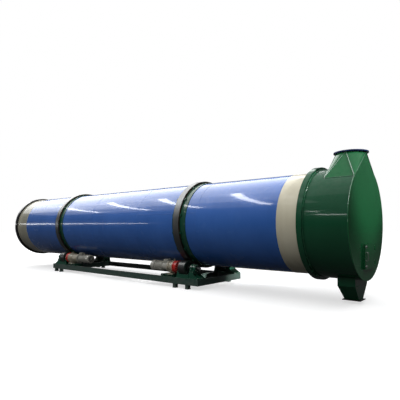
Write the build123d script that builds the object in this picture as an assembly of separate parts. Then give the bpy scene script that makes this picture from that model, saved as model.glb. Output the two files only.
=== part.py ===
from build123d import *
import math
import os

# Rotary dryer: a long drum on two riding tyres and four friction rollers, with a fixed discharge hood.
# Millimetres. +X runs along the drum from the feed end to the discharge hood, +Z is up, z = 0 is the floor under
# the foot blocks, and the origin is under the middle of the whole machine. The drives stand on the -Y side.

# Drum
DRUM_RADIUS = 1100.0
SHELL_WALL = 14.0
DRUM_LENGTH = 12533.0
FEED_COURSE_LENGTH = 861.0
DISCHARGE_COURSE_LENGTH = 781.0
END_RING_WIDTH = 125.0
END_RING_HEIGHT = 55.0
END_RING_CHAMFER = 12.0
DAM_RING_HEIGHT = 266.0
DAM_RING_WALL = 16.0
FLIGHT_COUNT = 12
FLIGHT_HEIGHT = 180.0
FLIGHT_LIP = 80.0
FLIGHT_WALL = 8.0
FLIGHT_LIP_ANGLE = 20.0
FLIGHT_FEED_MARGIN = 900.0
FLIGHT_DISCHARGE_MARGIN = 500.0

# Riding tyres and the reinforcing band under each
FEED_OVERHANG = 3262.0
TYRE_SPACING = 5714.0
TYRE_WIDTH = 200.0
TYRE_THICKNESS = 54.0
TYRE_CHAMFER = 6.0
BAND_WALL = 12.0
BAND_FEED_REACH = 165.0
BAND_DISCHARGE_REACH = 270.0
STOP_COUNT = 16
STOP_LENGTH = 45.0
STOP_BREADTH = 60.0
STOP_HEIGHT = 32.0
STOP_CLEARANCE = 0.5

# Friction rollers
ROLLER_RADIUS = 190.0
ROLLER_WIDTH = 220.0
ROLLER_ANGLE = 35.0
ROLLER_GAP = 0.3
ROLLER_CHAMFER = 6.0
ROLLER_HUB_RADIUS = 80.0
ROLLER_RIM_WALL = 40.0
ROLLER_WEB_RECESS = 35.0
ROLLER_HUB_REACH = 4.0
SHOULDER_RADIUS = 56.0
JOURNAL_RADIUS = 45.0
JOURNAL_CLEARANCE = 0.3
SHAFT_END_REACH = 84.0
IDLE_SHAFT_END_REACH = 12.0

# Bearings, as offsets from the roller's middle towards and away from the machine's middle
OUTER_BEARING_WIDTH = 130.0
OUTER_BEARING_OFFSET = 290.0
INNER_BEARING_WIDTH = 60.0
INNER_BEARING_OFFSET = 152.0
BEARING_HOUSING_RADIUS = 100.0
BEARING_BASE_LENGTH = 270.0
BEARING_BASE_HEIGHT = 36.0
BEARING_CENTRE_HEIGHT = 115.0
BEARING_CAP_RADIUS = 98.0
BEARING_CAP_DEPTH = 35.0
BEARING_CAP_STEP = 12.0
SHOULDER_CLEARANCE = 4.0

# Skid
BEAM_HEIGHT = 160.0
BEAM_FLANGE = 65.0
BEAM_WEB = 8.0
BEAM_FLANGE_WALL = 10.5
BEAM_OUTSET = 146.0
FOOT_HEIGHT = 106.0
FOOT_WIDTH = 96.0
FOOT_PLATE_WIDTH = 112.0
FOOT_PLATE_WALL = 12.0
FEED_FOOT_OFFSETS = (-504.0, -182.0)
DISCHARGE_FOOT_OFFSETS = (-283.0, 150.0)
SKID_FEED_REACH = 650.0
SKID_DISCHARGE_REACH = 530.0
INNER_CROSS_BEAM_OFFSET = 250.0
PEDESTAL_PLATE = 16.0
PEDESTAL_DEPTH = 304.0
STOOL_HEIGHT = 106.0
STOOL_WEB = 12.0
STOOL_SEAT_MARGIN = 5.0
OUTER_STOOL_TOE = 160.0
INNER_STOOL_TOE = 20.0
FRONT_WALL_CLEARANCE = 10.0

# Drives: coupling, reducer, motor, as lengths along the roller's axis
COUPLING_RADIUS = 85.0
COUPLING_LENGTH = 22.0
COUPLING_GROOVE = 6.0
COUPLING_GAP = 5.0
COUPLING_STUB_RADIUS = 35.0
COUPLING_STUB_LENGTH = 40.0
REDUCER_NECK_LENGTH = 5.0
REDUCER_NECK_RADIUS = 110.0
REDUCER_NECK_GAP = 3.0
RING_RADIUS = 168.0
RING_LENGTH = 130.0
RING_WAIST_RADIUS = 154.0
RING_FLANGE_LENGTH = 24.0
FEED_HOUSING_LENGTH = 510.0
DISCHARGE_HOUSING_LENGTH = 220.0
HOUSING_FRONT_RADIUS = 158.0
HOUSING_BACK_RADIUS = 128.0
HOUSING_FLANGE_LENGTH = 22.0
HOUSING_TAPER_LENGTH = 154.0
FOOT_DROP = 190.0
REDUCER_FOOT_LENGTH = 200.0
REDUCER_FOOT_WIDTH = 260.0
REDUCER_FOOT_WALL = 20.0
REDUCER_FOOT_WEB = 30.0
MOTOR_FLANGE_RADIUS = 150.0
MOTOR_FLANGE_LENGTH = 18.0
MOTOR_FRONT_RADIUS = 105.0
MOTOR_FRONT_LENGTH = 215.0
MOTOR_CORE_RADIUS = 118.0
MOTOR_LENGTH = 500.0
FIN_COUNT = 24
FIN_HEIGHT = 14.0
FIN_WALL = 5.0
FIN_MARGIN = 12.0
TERMINAL_BOX_LENGTH = 150.0
TERMINAL_BOX_WIDTH = 130.0
TERMINAL_BOX_HEIGHT = 70.0
COWL_RADIUS = 139.0
COWL_LENGTH = 140.0
COWL_ROUND = 22.0
PLINTH_PLATE = 12.0
PLINTH_RIB = 10.0
PLINTH_DEPTH = 300.0
PLINTH_LENGTH = 420.0
PLINTH_GUSSET_DROP = 130.0

# Discharge hood
DRUM_IN_HOOD = 300.0
SEAL_GAP = 0.3
SEAL_RING_OUTSET = 106.0
SEAL_RING_WIDTH = 110.0
SEAL_RING_WALL = 10.0
SEAL_LIP_LENGTH = 60.0
SEAL_LIP_WALL = 12.0
HOOD_OUTSET = 50.0
HOOD_WALL = 10.0
HOOD_END_GAP = 673.0
END_PLATE_WALL = 12.0
END_PLATE_LIP = 10.0

# Outlet on top of the hood: rectangle to round
OUTLET_BASE_LENGTH = 583.0
OUTLET_BASE_HALF_WIDTH = 748.0
OUTLET_RISE = 316.0
OUTLET_RADIUS = 300.0
OUTLET_WALL = 8.0
OUTLET_FLANGE_RADIUS = 346.0
OUTLET_FLANGE_WALL = 24.0
OUTLET_BOLT_CIRCLE_DIAMETER = 646.0
OUTLET_BOLT_COUNT = 12
FLANGE_HOLE_RADIUS = 9.0

# Chute under the hood
CHUTE_BACK_GAP = 126.0
CHUTE_LENGTH = 342.0
CHUTE_WIDTH = 770.0
CHUTE_NECK_HEIGHT = 104.0
CHUTE_HEIGHT = 412.0
CHUTE_MOUTH_LENGTH = 280.0
CHUTE_MOUTH_WIDTH = 260.0
CHUTE_MOUTH_SHIFT = 21.0
CHUTE_WALL = 8.0
CHUTE_FLANGE_WIDTH = 45.0
CHUTE_FLANGE_WALL = 14.0
CHUTE_HOLE_INSET = 22.0

# Door in the end plate
DOOR_WIDTH = 660.0
DOOR_HEIGHT = 506.0
DOOR_DROP = 660.0
DOOR_FRAME_OUTER_INSET = 10.0
DOOR_FRAME_BAR = 42.0
DOOR_FRAME_DEPTH = 28.0
DOOR_GASKET = 3.0
DOOR_LEAF_WALL = 9.0
DOOR_CORNER = 12.0
HINGE_OFFSET = 15.0
HINGE_LUG_CLEARANCE = 6.0
HINGE_SPACING = 300.0
HINGE_KNUCKLE_RADIUS = 14.0
HINGE_KNUCKLE_LENGTH = 60.0
HINGE_PIN_RADIUS = 8.0
HINGE_CLEARANCE = 0.3
HINGE_END_GAP = 1.0
HINGE_LUG_WALL = 14.0
HANDLE_REACH = 45.0
HANDLE_LENGTH = 160.0
HANDLE_RADIUS = 8.0
HANDLE_INSET = 60.0

# Places worked out from the sizes above
OVERALL_LENGTH = (
    DRUM_LENGTH
    + HOOD_END_GAP
    + END_PLATE_WALL
    + DOOR_FRAME_DEPTH
    + DOOR_GASKET
    + DOOR_LEAF_WALL
    + HANDLE_REACH
)
FEED_END_X = -OVERALL_LENGTH / 2
DISCHARGE_END_X = FEED_END_X + DRUM_LENGTH
FEED_TYRE_X = FEED_END_X + FEED_OVERHANG
DISCHARGE_TYRE_X = FEED_TYRE_X + TYRE_SPACING
BAND_RADIUS = DRUM_RADIUS + BAND_WALL
TYRE_RADIUS = BAND_RADIUS + TYRE_THICKNESS
BEAM_TOP = FOOT_HEIGHT + BEAM_HEIGHT
STOOL_BASE = BEAM_TOP + PEDESTAL_PLATE
BEARING_SEAT = STOOL_BASE + STOOL_HEIGHT + PEDESTAL_PLATE
ROLLER_Z = BEARING_SEAT + BEARING_CENTRE_HEIGHT
ROLLER_REACH = TYRE_RADIUS + ROLLER_GAP + ROLLER_RADIUS
ROLLER_Y = ROLLER_REACH * math.sin(math.radians(ROLLER_ANGLE))
AXIS_HEIGHT = ROLLER_Z + ROLLER_REACH * math.cos(math.radians(ROLLER_ANGLE))
BEAM_OUTER_Y = ROLLER_Y + BEAM_OUTSET
DAM_RING_BORE = DRUM_RADIUS - SHELL_WALL - DAM_RING_HEIGHT
HOOD_RADIUS = DRUM_RADIUS + HOOD_OUTSET
HOOD_INNER_RADIUS = HOOD_RADIUS - HOOD_WALL
SEAL_RING_RADIUS = DRUM_RADIUS + SEAL_RING_OUTSET
SEAL_X = DISCHARGE_END_X - DRUM_IN_HOOD
HOOD_START_X = SEAL_X + SEAL_RING_WIDTH
END_PLATE_X = DISCHARGE_END_X + HOOD_END_GAP
END_FACE_X = END_PLATE_X + END_PLATE_WALL
OUTLET_X = END_PLATE_X - OUTLET_RADIUS
OUTLET_TOP_HEIGHT = HOOD_RADIUS + OUTLET_RISE
CHUTE_NECK_DROP = HOOD_RADIUS + CHUTE_NECK_HEIGHT
CHUTE_BOTTOM_DROP = HOOD_RADIUS + CHUTE_HEIGHT
DOOR_Z = AXIS_HEIGHT - DOOR_DROP
SKID_START_X = FEED_TYRE_X - SKID_FEED_REACH
SKID_END_X = DISCHARGE_TYRE_X + SKID_DISCHARGE_REACH
STATIONS = {"feed": (FEED_TYRE_X, -1), "discharge": (DISCHARGE_TYRE_X, 1)}
FOOT_OFFSETS = {"feed": FEED_FOOT_OFFSETS, "discharge": DISCHARGE_FOOT_OFFSETS}
HOUSING_LENGTHS = {-1: FEED_HOUSING_LENGTH, 1: DISCHARGE_HOUSING_LENGTH}
SIDES = {"near": -1, "far": 1}


def block(x, y, z):
    """Box between two corners, each given as a (low, high) pair."""
    size = [high - low for low, high in (x, y, z)]
    middle = [(high + low) / 2 for low, high in (x, y, z)]
    return Pos(*middle) * Box(*size)


def along(start, length, outward):
    """Low and high X of a length that starts at X = start and runs the way that outward points."""
    return tuple(sorted((start, start + outward * length)))


def turned(outline, y=0.0, z=AXIS_HEIGHT):
    """Solid turned about a line along X from a closed outline of (x, radius) points."""
    face = make_face(Polyline(*[(px, 0, radius) for px, radius in outline], close=True))
    return Pos(0, y, z) * revolve(face, Axis.X)


def rod(radius, x, y=0.0, z=AXIS_HEIGHT):
    """Plain cylinder along X between a (low, high) pair."""
    low, high = x
    return Pos((low + high) / 2, y, z) * Rot(0, 90, 0) * Cylinder(radius, high - low)


def ring(outer, inner, x, chamfer_size=0.0):
    """Ring about the drum's axis with an optional chamfer on its outer edges."""
    low, high = x
    edge = outer - chamfer_size
    if chamfer_size:
        top = [(low, edge), (low + chamfer_size, outer), (high - chamfer_size, outer), (high, edge)]
    else:
        top = [(low, outer), (high, outer)]
    return turned([(low, inner), *top, (high, inner)])


def shell_course(start, length):
    """One rolled length of the drum's shell."""
    return ring(DRUM_RADIUS, DRUM_RADIUS - SHELL_WALL, (start, start + length))


def lifting_flights():
    """Bent plates along the inside of the shell that lift and drop the material."""
    bore = DRUM_RADIUS - SHELL_WALL
    start = FEED_END_X + FLIGHT_FEED_MARGIN
    length = DRUM_LENGTH - FLIGHT_FEED_MARGIN - FLIGHT_DISCHARGE_MARGIN
    lean = math.radians(FLIGHT_LIP_ANGLE)
    tip = bore - FLIGHT_HEIGHT
    lip = (FLIGHT_LIP * math.cos(lean), FLIGHT_LIP * math.sin(lean))
    outline = [
        (0, bore + SHELL_WALL / 2),
        (0, tip),
        (lip[0], tip + lip[1]),
        (lip[0], tip + lip[1] + FLIGHT_WALL),
        (FLIGHT_WALL, tip + FLIGHT_WALL + FLIGHT_WALL * math.tan(lean)),
        (FLIGHT_WALL, bore + SHELL_WALL / 2),
    ]
    section = make_face(Polyline(*[(start, y, z) for y, z in outline], close=True))
    plate = extrude(section, length, dir=(1, 0, 0))
    plate &= Pos(start + length / 2, 0, 0) * Rot(0, 90, 0) * Cylinder(bore, length)
    flights = [Rot(360 * i / FLIGHT_COUNT, 0, 0) * plate for i in range(FLIGHT_COUNT)]
    return [Pos(0, 0, AXIS_HEIGHT) * flight for flight in flights]


def tyre(x):
    """Forged riding tyre."""
    half = TYRE_WIDTH / 2
    return ring(TYRE_RADIUS, BAND_RADIUS, (x - half, x + half), TYRE_CHAMFER)


def tyre_band(x):
    """Reinforcing band welded round the shell, with stop blocks that hold the tyre on both sides."""
    band = ring(BAND_RADIUS, DRUM_RADIUS, (x - BAND_FEED_REACH, x + BAND_DISCHARGE_REACH))
    stops = []
    for outward in (-1, 1):
        span = along(x + outward * (TYRE_WIDTH / 2 + STOP_CLEARANCE), STOP_LENGTH, outward)
        stop = block(
            (span[0], span[1]),
            (-STOP_BREADTH / 2, STOP_BREADTH / 2),
            (DRUM_RADIUS + BAND_WALL / 2, BAND_RADIUS + STOP_HEIGHT),
        )
        stops += [Rot(360 * (i + 0.5) / STOP_COUNT, 0, 0) * stop for i in range(STOP_COUNT)]
    return band + [Pos(0, 0, AXIS_HEIGHT) * stop for stop in stops]


def inner_bearing_face(x, out):
    """X of the inner bearing's face that looks at the drive."""
    return x - out * (INNER_BEARING_OFFSET + INNER_BEARING_WIDTH / 2)


def roller(x, out, y, driven):
    """Friction roller with its shaft, turned from (offset, radius) points along the outward direction."""
    half = ROLLER_WIDTH / 2
    rim = ROLLER_RADIUS - ROLLER_RIM_WALL
    hub = half + ROLLER_HUB_REACH
    outer_bearing = OUTER_BEARING_OFFSET - OUTER_BEARING_WIDTH / 2
    inner_bearing = INNER_BEARING_OFFSET - INNER_BEARING_WIDTH / 2
    cap_end = OUTER_BEARING_OFFSET + OUTER_BEARING_WIDTH / 2 + BEARING_CAP_DEPTH
    inner_face = INNER_BEARING_OFFSET + INNER_BEARING_WIDTH / 2
    if driven:
        outer_end = cap_end + SHAFT_END_REACH
        inner_end = inner_face + COUPLING_GAP + COUPLING_LENGTH / 2
    else:
        outer_end = cap_end + IDLE_SHAFT_END_REACH
        inner_end = inner_face + IDLE_SHAFT_END_REACH

    def half_outline(bearing_face, shaft_end, c):
        return [
            (half - c, ROLLER_RADIUS),
            (half, ROLLER_RADIUS - c),
            (half, rim),
            (half - ROLLER_WEB_RECESS, rim),
            (half - ROLLER_WEB_RECESS, ROLLER_HUB_RADIUS),
            (hub, ROLLER_HUB_RADIUS),
            (hub, SHOULDER_RADIUS),
            (bearing_face - SHOULDER_CLEARANCE, SHOULDER_RADIUS),
            (bearing_face - SHOULDER_CLEARANCE, JOURNAL_RADIUS),
            (shaft_end, JOURNAL_RADIUS),
            (shaft_end, 0),
        ]

    outer_half = half_outline(outer_bearing, outer_end, ROLLER_CHAMFER)
    inner_half = half_outline(inner_bearing, inner_end, ROLLER_CHAMFER)
    outline = [(x + out * s, r) for s, r in outer_half]
    outline += [(x - out * s, r) for s, r in reversed(inner_half)]
    return turned(outline, y, ROLLER_Z)


def bearing(x, y, width):
    """Split bearing housing: a base, a round body and a bore for the journal, at X = x."""
    profile = Circle(BEARING_HOUSING_RADIUS)
    foot_top = -BEARING_CENTRE_HEIGHT + BEARING_BASE_HEIGHT
    foot = Rectangle(BEARING_BASE_LENGTH, BEARING_BASE_HEIGHT)
    profile += Pos(0, foot_top - BEARING_BASE_HEIGHT / 2) * foot
    neck = Polygon(
        (-BEARING_HOUSING_RADIUS - STOOL_WEB, foot_top),
        (BEARING_HOUSING_RADIUS + STOOL_WEB, foot_top),
        (BEARING_HOUSING_RADIUS, 0),
        (-BEARING_HOUSING_RADIUS, 0),
        align=None,
    )
    profile += neck
    profile -= Circle(JOURNAL_RADIUS + JOURNAL_CLEARANCE)
    body = extrude(Plane.YZ * profile, width / 2, both=True)
    return Pos(x, y, ROLLER_Z) * body


def bearing_cap(x, out, y):
    """Stepped cover on the outer face of the outer bearing."""
    face = x + out * (OUTER_BEARING_OFFSET + OUTER_BEARING_WIDTH / 2)
    bore = JOURNAL_RADIUS + JOURNAL_CLEARANCE
    step = BEARING_CAP_DEPTH / 2
    outline = [
        (0, bore),
        (0, BEARING_CAP_RADIUS),
        (step, BEARING_CAP_RADIUS),
        (BEARING_CAP_DEPTH, BEARING_CAP_RADIUS - BEARING_CAP_STEP),
        (BEARING_CAP_DEPTH, bore),
    ]
    return turned([(face + out * s, r) for s, r in outline], y, ROLLER_Z)


def station_bearings(x, out):
    """Four bearings of one station, the outer ones with their caps."""
    bearings = []
    for side in SIDES.values():
        y = side * ROLLER_Y
        outer = bearing(x + out * OUTER_BEARING_OFFSET, y, OUTER_BEARING_WIDTH)
        bearings.append(outer + bearing_cap(x, out, y))
        bearings.append(bearing(x - out * INNER_BEARING_OFFSET, y, INNER_BEARING_WIDTH))
    return bearings


def stool(face, way, length, toe, y):
    """Welded stool under one bearing: a seat on three slanted webs and an upright wall on the roller's side.

    It starts at X = face and runs the way that way points, for length at its seat and for toe more at its foot."""
    under = BEARING_SEAT - PEDESTAL_PLATE
    breadth = BEARING_BASE_LENGTH / 2
    depth = (y - breadth, y + breadth)
    seat = block(along(face, length, way), depth, (under, BEARING_SEAT))
    side = make_face(
        Polyline(
            (face, y, STOOL_BASE),
            (face + way * (length + toe), y, STOOL_BASE),
            (face + way * length, y, under),
            (face, y, under),
            close=True,
        )
    )
    reach = breadth - STOOL_WEB / 2
    webs = [Pos(0, offset, 0) * extrude(side, STOOL_WEB / 2, both=True) for offset in (-reach, 0, reach)]
    wall = block(along(face, STOOL_WEB, way), depth, (STOOL_BASE, under))
    return seat + webs + wall


def front_wall_height():
    """Height of the wall in front of a roller that keeps its top edge clear of the tread."""
    reach = ROLLER_RADIUS + FRONT_WALL_CLEARANCE
    return ROLLER_Z - math.sqrt(reach**2 - (BEAM_OUTSET - STOOL_WEB) ** 2) - STOOL_BASE


def pedestals(x, out):
    """The two pedestals of one station: a base plate, two bearing stools and an outer wall between them."""
    made = []
    outer_length = OUTER_BEARING_WIDTH + 2 * STOOL_SEAT_MARGIN
    inner_length = INNER_BEARING_WIDTH + 2 * STOOL_SEAT_MARGIN
    outer_face = x + out * (OUTER_BEARING_OFFSET - outer_length / 2)
    inner_face = x - out * (INNER_BEARING_OFFSET - inner_length / 2)
    outer_end = outer_face + out * (outer_length + OUTER_STOOL_TOE)
    inner_end = inner_face - out * (inner_length + INNER_STOOL_TOE)
    ends = tuple(sorted((outer_end, inner_end)))
    between = tuple(sorted((outer_face, inner_face)))
    for side in SIDES.values():
        y = side * ROLLER_Y
        depth = along(side * BEAM_OUTER_Y, PEDESTAL_DEPTH, -side)
        wall = along(side * BEAM_OUTER_Y, STOOL_WEB, -side)
        pedestal = block(ends, depth, (BEAM_TOP, STOOL_BASE))
        pedestal += stool(outer_face, out, outer_length, OUTER_STOOL_TOE, y)
        pedestal += stool(inner_face, -out, inner_length, INNER_STOOL_TOE, y)
        pedestal += block(ends, wall, (STOOL_BASE, STOOL_BASE + STOOL_WEB))
        pedestal += block(between, wall, (STOOL_BASE, STOOL_BASE + front_wall_height()))
        made.append(pedestal)
    return made


def channel(length):
    """Rolled channel along X from X = 0, its web's outer face on y = 0 and its flanges towards +Y."""
    outline = [
        (0, 0),
        (BEAM_FLANGE, 0),
        (BEAM_FLANGE, BEAM_FLANGE_WALL),
        (BEAM_WEB, BEAM_FLANGE_WALL),
        (BEAM_WEB, BEAM_HEIGHT - BEAM_FLANGE_WALL),
        (BEAM_FLANGE, BEAM_HEIGHT - BEAM_FLANGE_WALL),
        (BEAM_FLANGE, BEAM_HEIGHT),
        (0, BEAM_HEIGHT),
    ]
    section = make_face(Polyline(*[(0, y, z) for y, z in outline], close=True))
    return extrude(section, length, dir=(1, 0, 0))


def side_beam(side):
    """Long channel of the skid with its web outwards."""
    beam = channel(SKID_END_X - SKID_START_X)
    if side < 0:
        return Pos(SKID_START_X, -BEAM_OUTER_Y, FOOT_HEIGHT) * beam
    return Pos(SKID_END_X, BEAM_OUTER_Y, FOOT_HEIGHT) * Rot(0, 0, 180) * beam


def cross_beams():
    """Two channels across the skid at each station, one of them at the skid's end with its web outwards."""
    half = BEAM_OUTER_Y - BEAM_FLANGE
    places = [
        (SKID_START_X, -1),
        (FEED_TYRE_X + INNER_CROSS_BEAM_OFFSET, 1),
        (DISCHARGE_TYRE_X - INNER_CROSS_BEAM_OFFSET, -1),
        (SKID_END_X, 1),
    ]
    return [Pos(x, -way * half, FOOT_HEIGHT) * Rot(0, 0, 90 * way) * channel(2 * half) for x, way in places]


def foot_blocks():
    """Short posts with floor plates under the side beams, two at each corner."""
    feet = []
    half = FOOT_WIDTH / 2
    plate = FOOT_PLATE_WIDTH / 2
    for station, (x, _) in STATIONS.items():
        for offset in FOOT_OFFSETS[station]:
            for side in SIDES.values():
                cx = x + offset
                cy = side * (BEAM_OUTER_Y - plate)
                post = block((cx - half, cx + half), (cy - half, cy + half), (FOOT_PLATE_WALL, FOOT_HEIGHT))
                sole = block((cx - plate, cx + plate), (cy - plate, cy + plate), (0, FOOT_PLATE_WALL))
                feet.append(post + sole)
    return feet


def drive_starts(x, out):
    """X of each piece's front face along one drive, from the coupling to the fan cowl."""
    coupling = inner_bearing_face(x, out) - out * COUPLING_GAP
    neck = coupling - out * (COUPLING_LENGTH + REDUCER_NECK_GAP)
    housing = neck - out * (REDUCER_NECK_LENGTH + RING_LENGTH)
    motor_face = housing - out * HOUSING_LENGTHS[out]
    cowl = motor_face - out * MOTOR_LENGTH
    return {"coupling": coupling, "neck": neck, "housing": housing, "motor": motor_face, "cowl": cowl}


def drive_coupling(x, out):
    """Flange coupling on the roller's shaft, with the stub that enters the reducer."""
    start = drive_starts(x, out)["coupling"]
    middle = COUPLING_LENGTH / 2
    groove = COUPLING_GROOVE / 2
    outline = [
        (0, JOURNAL_RADIUS),
        (0, COUPLING_RADIUS),
        (middle - groove, COUPLING_RADIUS),
        (middle - groove, COUPLING_RADIUS - COUPLING_GROOVE),
        (middle + groove, COUPLING_RADIUS - COUPLING_GROOVE),
        (middle + groove, COUPLING_RADIUS),
        (COUPLING_LENGTH, COUPLING_RADIUS),
        (COUPLING_LENGTH, COUPLING_STUB_RADIUS),
        (COUPLING_LENGTH + COUPLING_STUB_LENGTH, COUPLING_STUB_RADIUS),
        (COUPLING_LENGTH + COUPLING_STUB_LENGTH, 0),
        (middle, 0),
        (middle, JOURNAL_RADIUS),
    ]
    return turned([(start - out * s, r) for s, r in outline], -ROLLER_Y, ROLLER_Z)


def reducer_ring(x, out):
    """Ring gear housing of the reducer: two bolted flanges round a waist, bored for the coupling's stub."""
    places = drive_starts(x, out)
    start = places["neck"]
    neck = REDUCER_NECK_LENGTH
    bore = COUPLING_STUB_RADIUS + JOURNAL_CLEARANCE
    bore_end = COUPLING_STUB_LENGTH
    end = neck + RING_LENGTH
    outline = [
        (0, bore),
        (0, REDUCER_NECK_RADIUS),
        (neck, REDUCER_NECK_RADIUS),
        (neck, RING_RADIUS),
        (neck + RING_FLANGE_LENGTH, RING_RADIUS),
        (neck + RING_FLANGE_LENGTH, RING_WAIST_RADIUS),
        (end - RING_FLANGE_LENGTH, RING_WAIST_RADIUS),
        (end - RING_FLANGE_LENGTH, RING_RADIUS),
        (end, RING_RADIUS),
        (end, 0),
        (bore_end, 0),
        (bore_end, bore),
    ]
    return turned([(start - out * s, r) for s, r in outline], -ROLLER_Y, ROLLER_Z)


def reducer_housing(x, out):
    """Reducer housing between the ring and the motor, with the foot that carries the drive.

    It tapers from the ring's flange. The feed drive's is longer by one more stage behind a joint flange."""
    start = drive_starts(x, out)["housing"]
    flange = HOUSING_FLANGE_LENGTH
    length = HOUSING_LENGTHS[out]
    taper_end = flange + HOUSING_TAPER_LENGTH
    outline = [
        (0, 0),
        (0, RING_RADIUS),
        (flange, RING_RADIUS),
        (flange, HOUSING_FRONT_RADIUS),
        (taper_end, HOUSING_BACK_RADIUS),
        (taper_end, MOTOR_FLANGE_RADIUS),
        (taper_end + flange, MOTOR_FLANGE_RADIUS),
    ]
    if length > taper_end + 2 * flange:
        outline += [
            (taper_end + flange, HOUSING_FRONT_RADIUS - flange),
            (length - flange, HOUSING_FRONT_RADIUS - flange),
            (length - flange, MOTOR_FLANGE_RADIUS),
        ]
    outline += [(length, MOTOR_FLANGE_RADIUS), (length, 0)]
    body = turned([(start - out * s, r) for s, r in outline], -ROLLER_Y, ROLLER_Z)
    sole = ROLLER_Z - FOOT_DROP
    half = REDUCER_FOOT_WIDTH / 2
    span = along(start, REDUCER_FOOT_LENGTH, -out)
    plate = block(span, (-ROLLER_Y - half, -ROLLER_Y + half), (sole, sole + REDUCER_FOOT_WALL))
    web_x = along(start - out * (REDUCER_FOOT_LENGTH - REDUCER_FOOT_WEB) / 2, REDUCER_FOOT_WEB, -out)
    webs = block(web_x, (-ROLLER_Y - half + PLINTH_RIB, -ROLLER_Y + half - PLINTH_RIB), (sole, ROLLER_Z))
    web_cut = rod(HOUSING_BACK_RADIUS, span, -ROLLER_Y, ROLLER_Z)
    keel = block(span, (-ROLLER_Y - PLINTH_RIB, -ROLLER_Y + PLINTH_RIB), (sole, ROLLER_Z)) - web_cut
    return body + plate + webs + keel


def motor(x, out):
    """Electric motor: front flange, plain front shield with the terminal box on top, and a finned body."""
    start = drive_starts(x, out)["motor"]
    outline = [
        (0, 0),
        (0, MOTOR_FLANGE_RADIUS),
        (MOTOR_FLANGE_LENGTH, MOTOR_FLANGE_RADIUS),
        (MOTOR_FLANGE_LENGTH, MOTOR_FRONT_RADIUS),
        (MOTOR_FRONT_LENGTH, MOTOR_FRONT_RADIUS),
        (MOTOR_FRONT_LENGTH, MOTOR_CORE_RADIUS),
        (MOTOR_LENGTH, MOTOR_CORE_RADIUS),
        (MOTOR_LENGTH, 0),
    ]
    body = turned([(start - out * s, r) for s, r in outline], -ROLLER_Y, ROLLER_Z)
    fin_start = start - out * (MOTOR_FRONT_LENGTH + FIN_MARGIN)
    fin_length = MOTOR_LENGTH - MOTOR_FRONT_LENGTH - 2 * FIN_MARGIN
    fin = block(
        along(fin_start, fin_length, -out),
        (-FIN_WALL / 2, FIN_WALL / 2),
        (MOTOR_CORE_RADIUS - FIN_HEIGHT, MOTOR_CORE_RADIUS + FIN_HEIGHT),
    )
    fins = [Pos(0, -ROLLER_Y, ROLLER_Z) * Rot(360 * i / FIN_COUNT, 0, 0) * fin for i in range(FIN_COUNT)]
    box_start = start - out * (MOTOR_FLANGE_LENGTH + PLINTH_PLATE)
    half = TERMINAL_BOX_WIDTH / 2
    root = math.sqrt(MOTOR_FRONT_RADIUS**2 - half**2) - TERMINAL_BOX_HEIGHT / 4
    box = block(
        along(box_start, TERMINAL_BOX_LENGTH, -out),
        (-ROLLER_Y - half, -ROLLER_Y + half),
        (ROLLER_Z + root, ROLLER_Z + MOTOR_FRONT_RADIUS + TERMINAL_BOX_HEIGHT),
    )
    return body + fins + box


def fan_cowl(x, out):
    """Pressed cover over the motor's fan, with a rounded back edge."""
    start = drive_starts(x, out)["cowl"]
    flat = COWL_LENGTH - COWL_ROUND
    steps = 4
    outline = [(0, 0), (0, COWL_RADIUS)]
    for i in range(steps + 1):
        turn = math.pi / 2 * i / steps
        outline.append((flat + COWL_ROUND * math.sin(turn), COWL_RADIUS - COWL_ROUND * (1 - math.cos(turn))))
    outline.append((COWL_LENGTH, 0))
    return turned([(start - out * s, r) for s, r in outline], -ROLLER_Y, ROLLER_Z)


def drive_plinth(x, out):
    """Welded seat for the reducer's foot on the near side beam, with gussets down inside the beam."""
    start = drive_starts(x, out)["housing"]
    span = along(start, PLINTH_LENGTH, -out)
    depth = (-BEAM_OUTER_Y, -BEAM_OUTER_Y + PLINTH_DEPTH)
    seat = ROLLER_Z - FOOT_DROP
    plinth = block(span, depth, (BEAM_TOP, BEAM_TOP + PLINTH_PLATE))
    plinth += block(span, depth, (seat - PLINTH_PLATE, seat))
    for share in (0, 0.5, 1):
        rib_x = span[0] + share * (PLINTH_LENGTH - PLINTH_RIB)
        plinth += block((rib_x, rib_x + PLINTH_RIB), depth, (BEAM_TOP + PLINTH_PLATE, seat - PLINTH_PLATE))
        toe = -BEAM_OUTER_Y + BEAM_FLANGE
        gusset = make_face(
            Polyline(
                (rib_x, toe, BEAM_TOP),
                (rib_x, depth[1], BEAM_TOP),
                (rib_x, toe, BEAM_TOP - PLINTH_GUSSET_DROP),
                close=True,
            )
        )
        plinth += extrude(gusset, PLINTH_RIB, dir=(1, 0, 0))
    return plinth


def hood_seal_ring():
    """Rolled channel ring at the hood's mouth, its inner lip running round the drum."""
    lip = DRUM_RADIUS + SEAL_GAP
    wall = SEAL_RING_WALL
    outline = [
        (0, lip),
        (0, SEAL_RING_RADIUS),
        (SEAL_RING_WIDTH, SEAL_RING_RADIUS),
        (SEAL_RING_WIDTH, HOOD_INNER_RADIUS),
        (SEAL_RING_WIDTH - wall, HOOD_INNER_RADIUS),
        (SEAL_RING_WIDTH - wall, SEAL_RING_RADIUS - wall),
        (wall, SEAL_RING_RADIUS - wall),
        (wall, lip + SEAL_LIP_WALL),
        (SEAL_LIP_LENGTH, lip + SEAL_LIP_WALL),
        (SEAL_LIP_LENGTH, lip),
    ]
    return turned([(SEAL_X + s, r) for s, r in outline])


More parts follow.
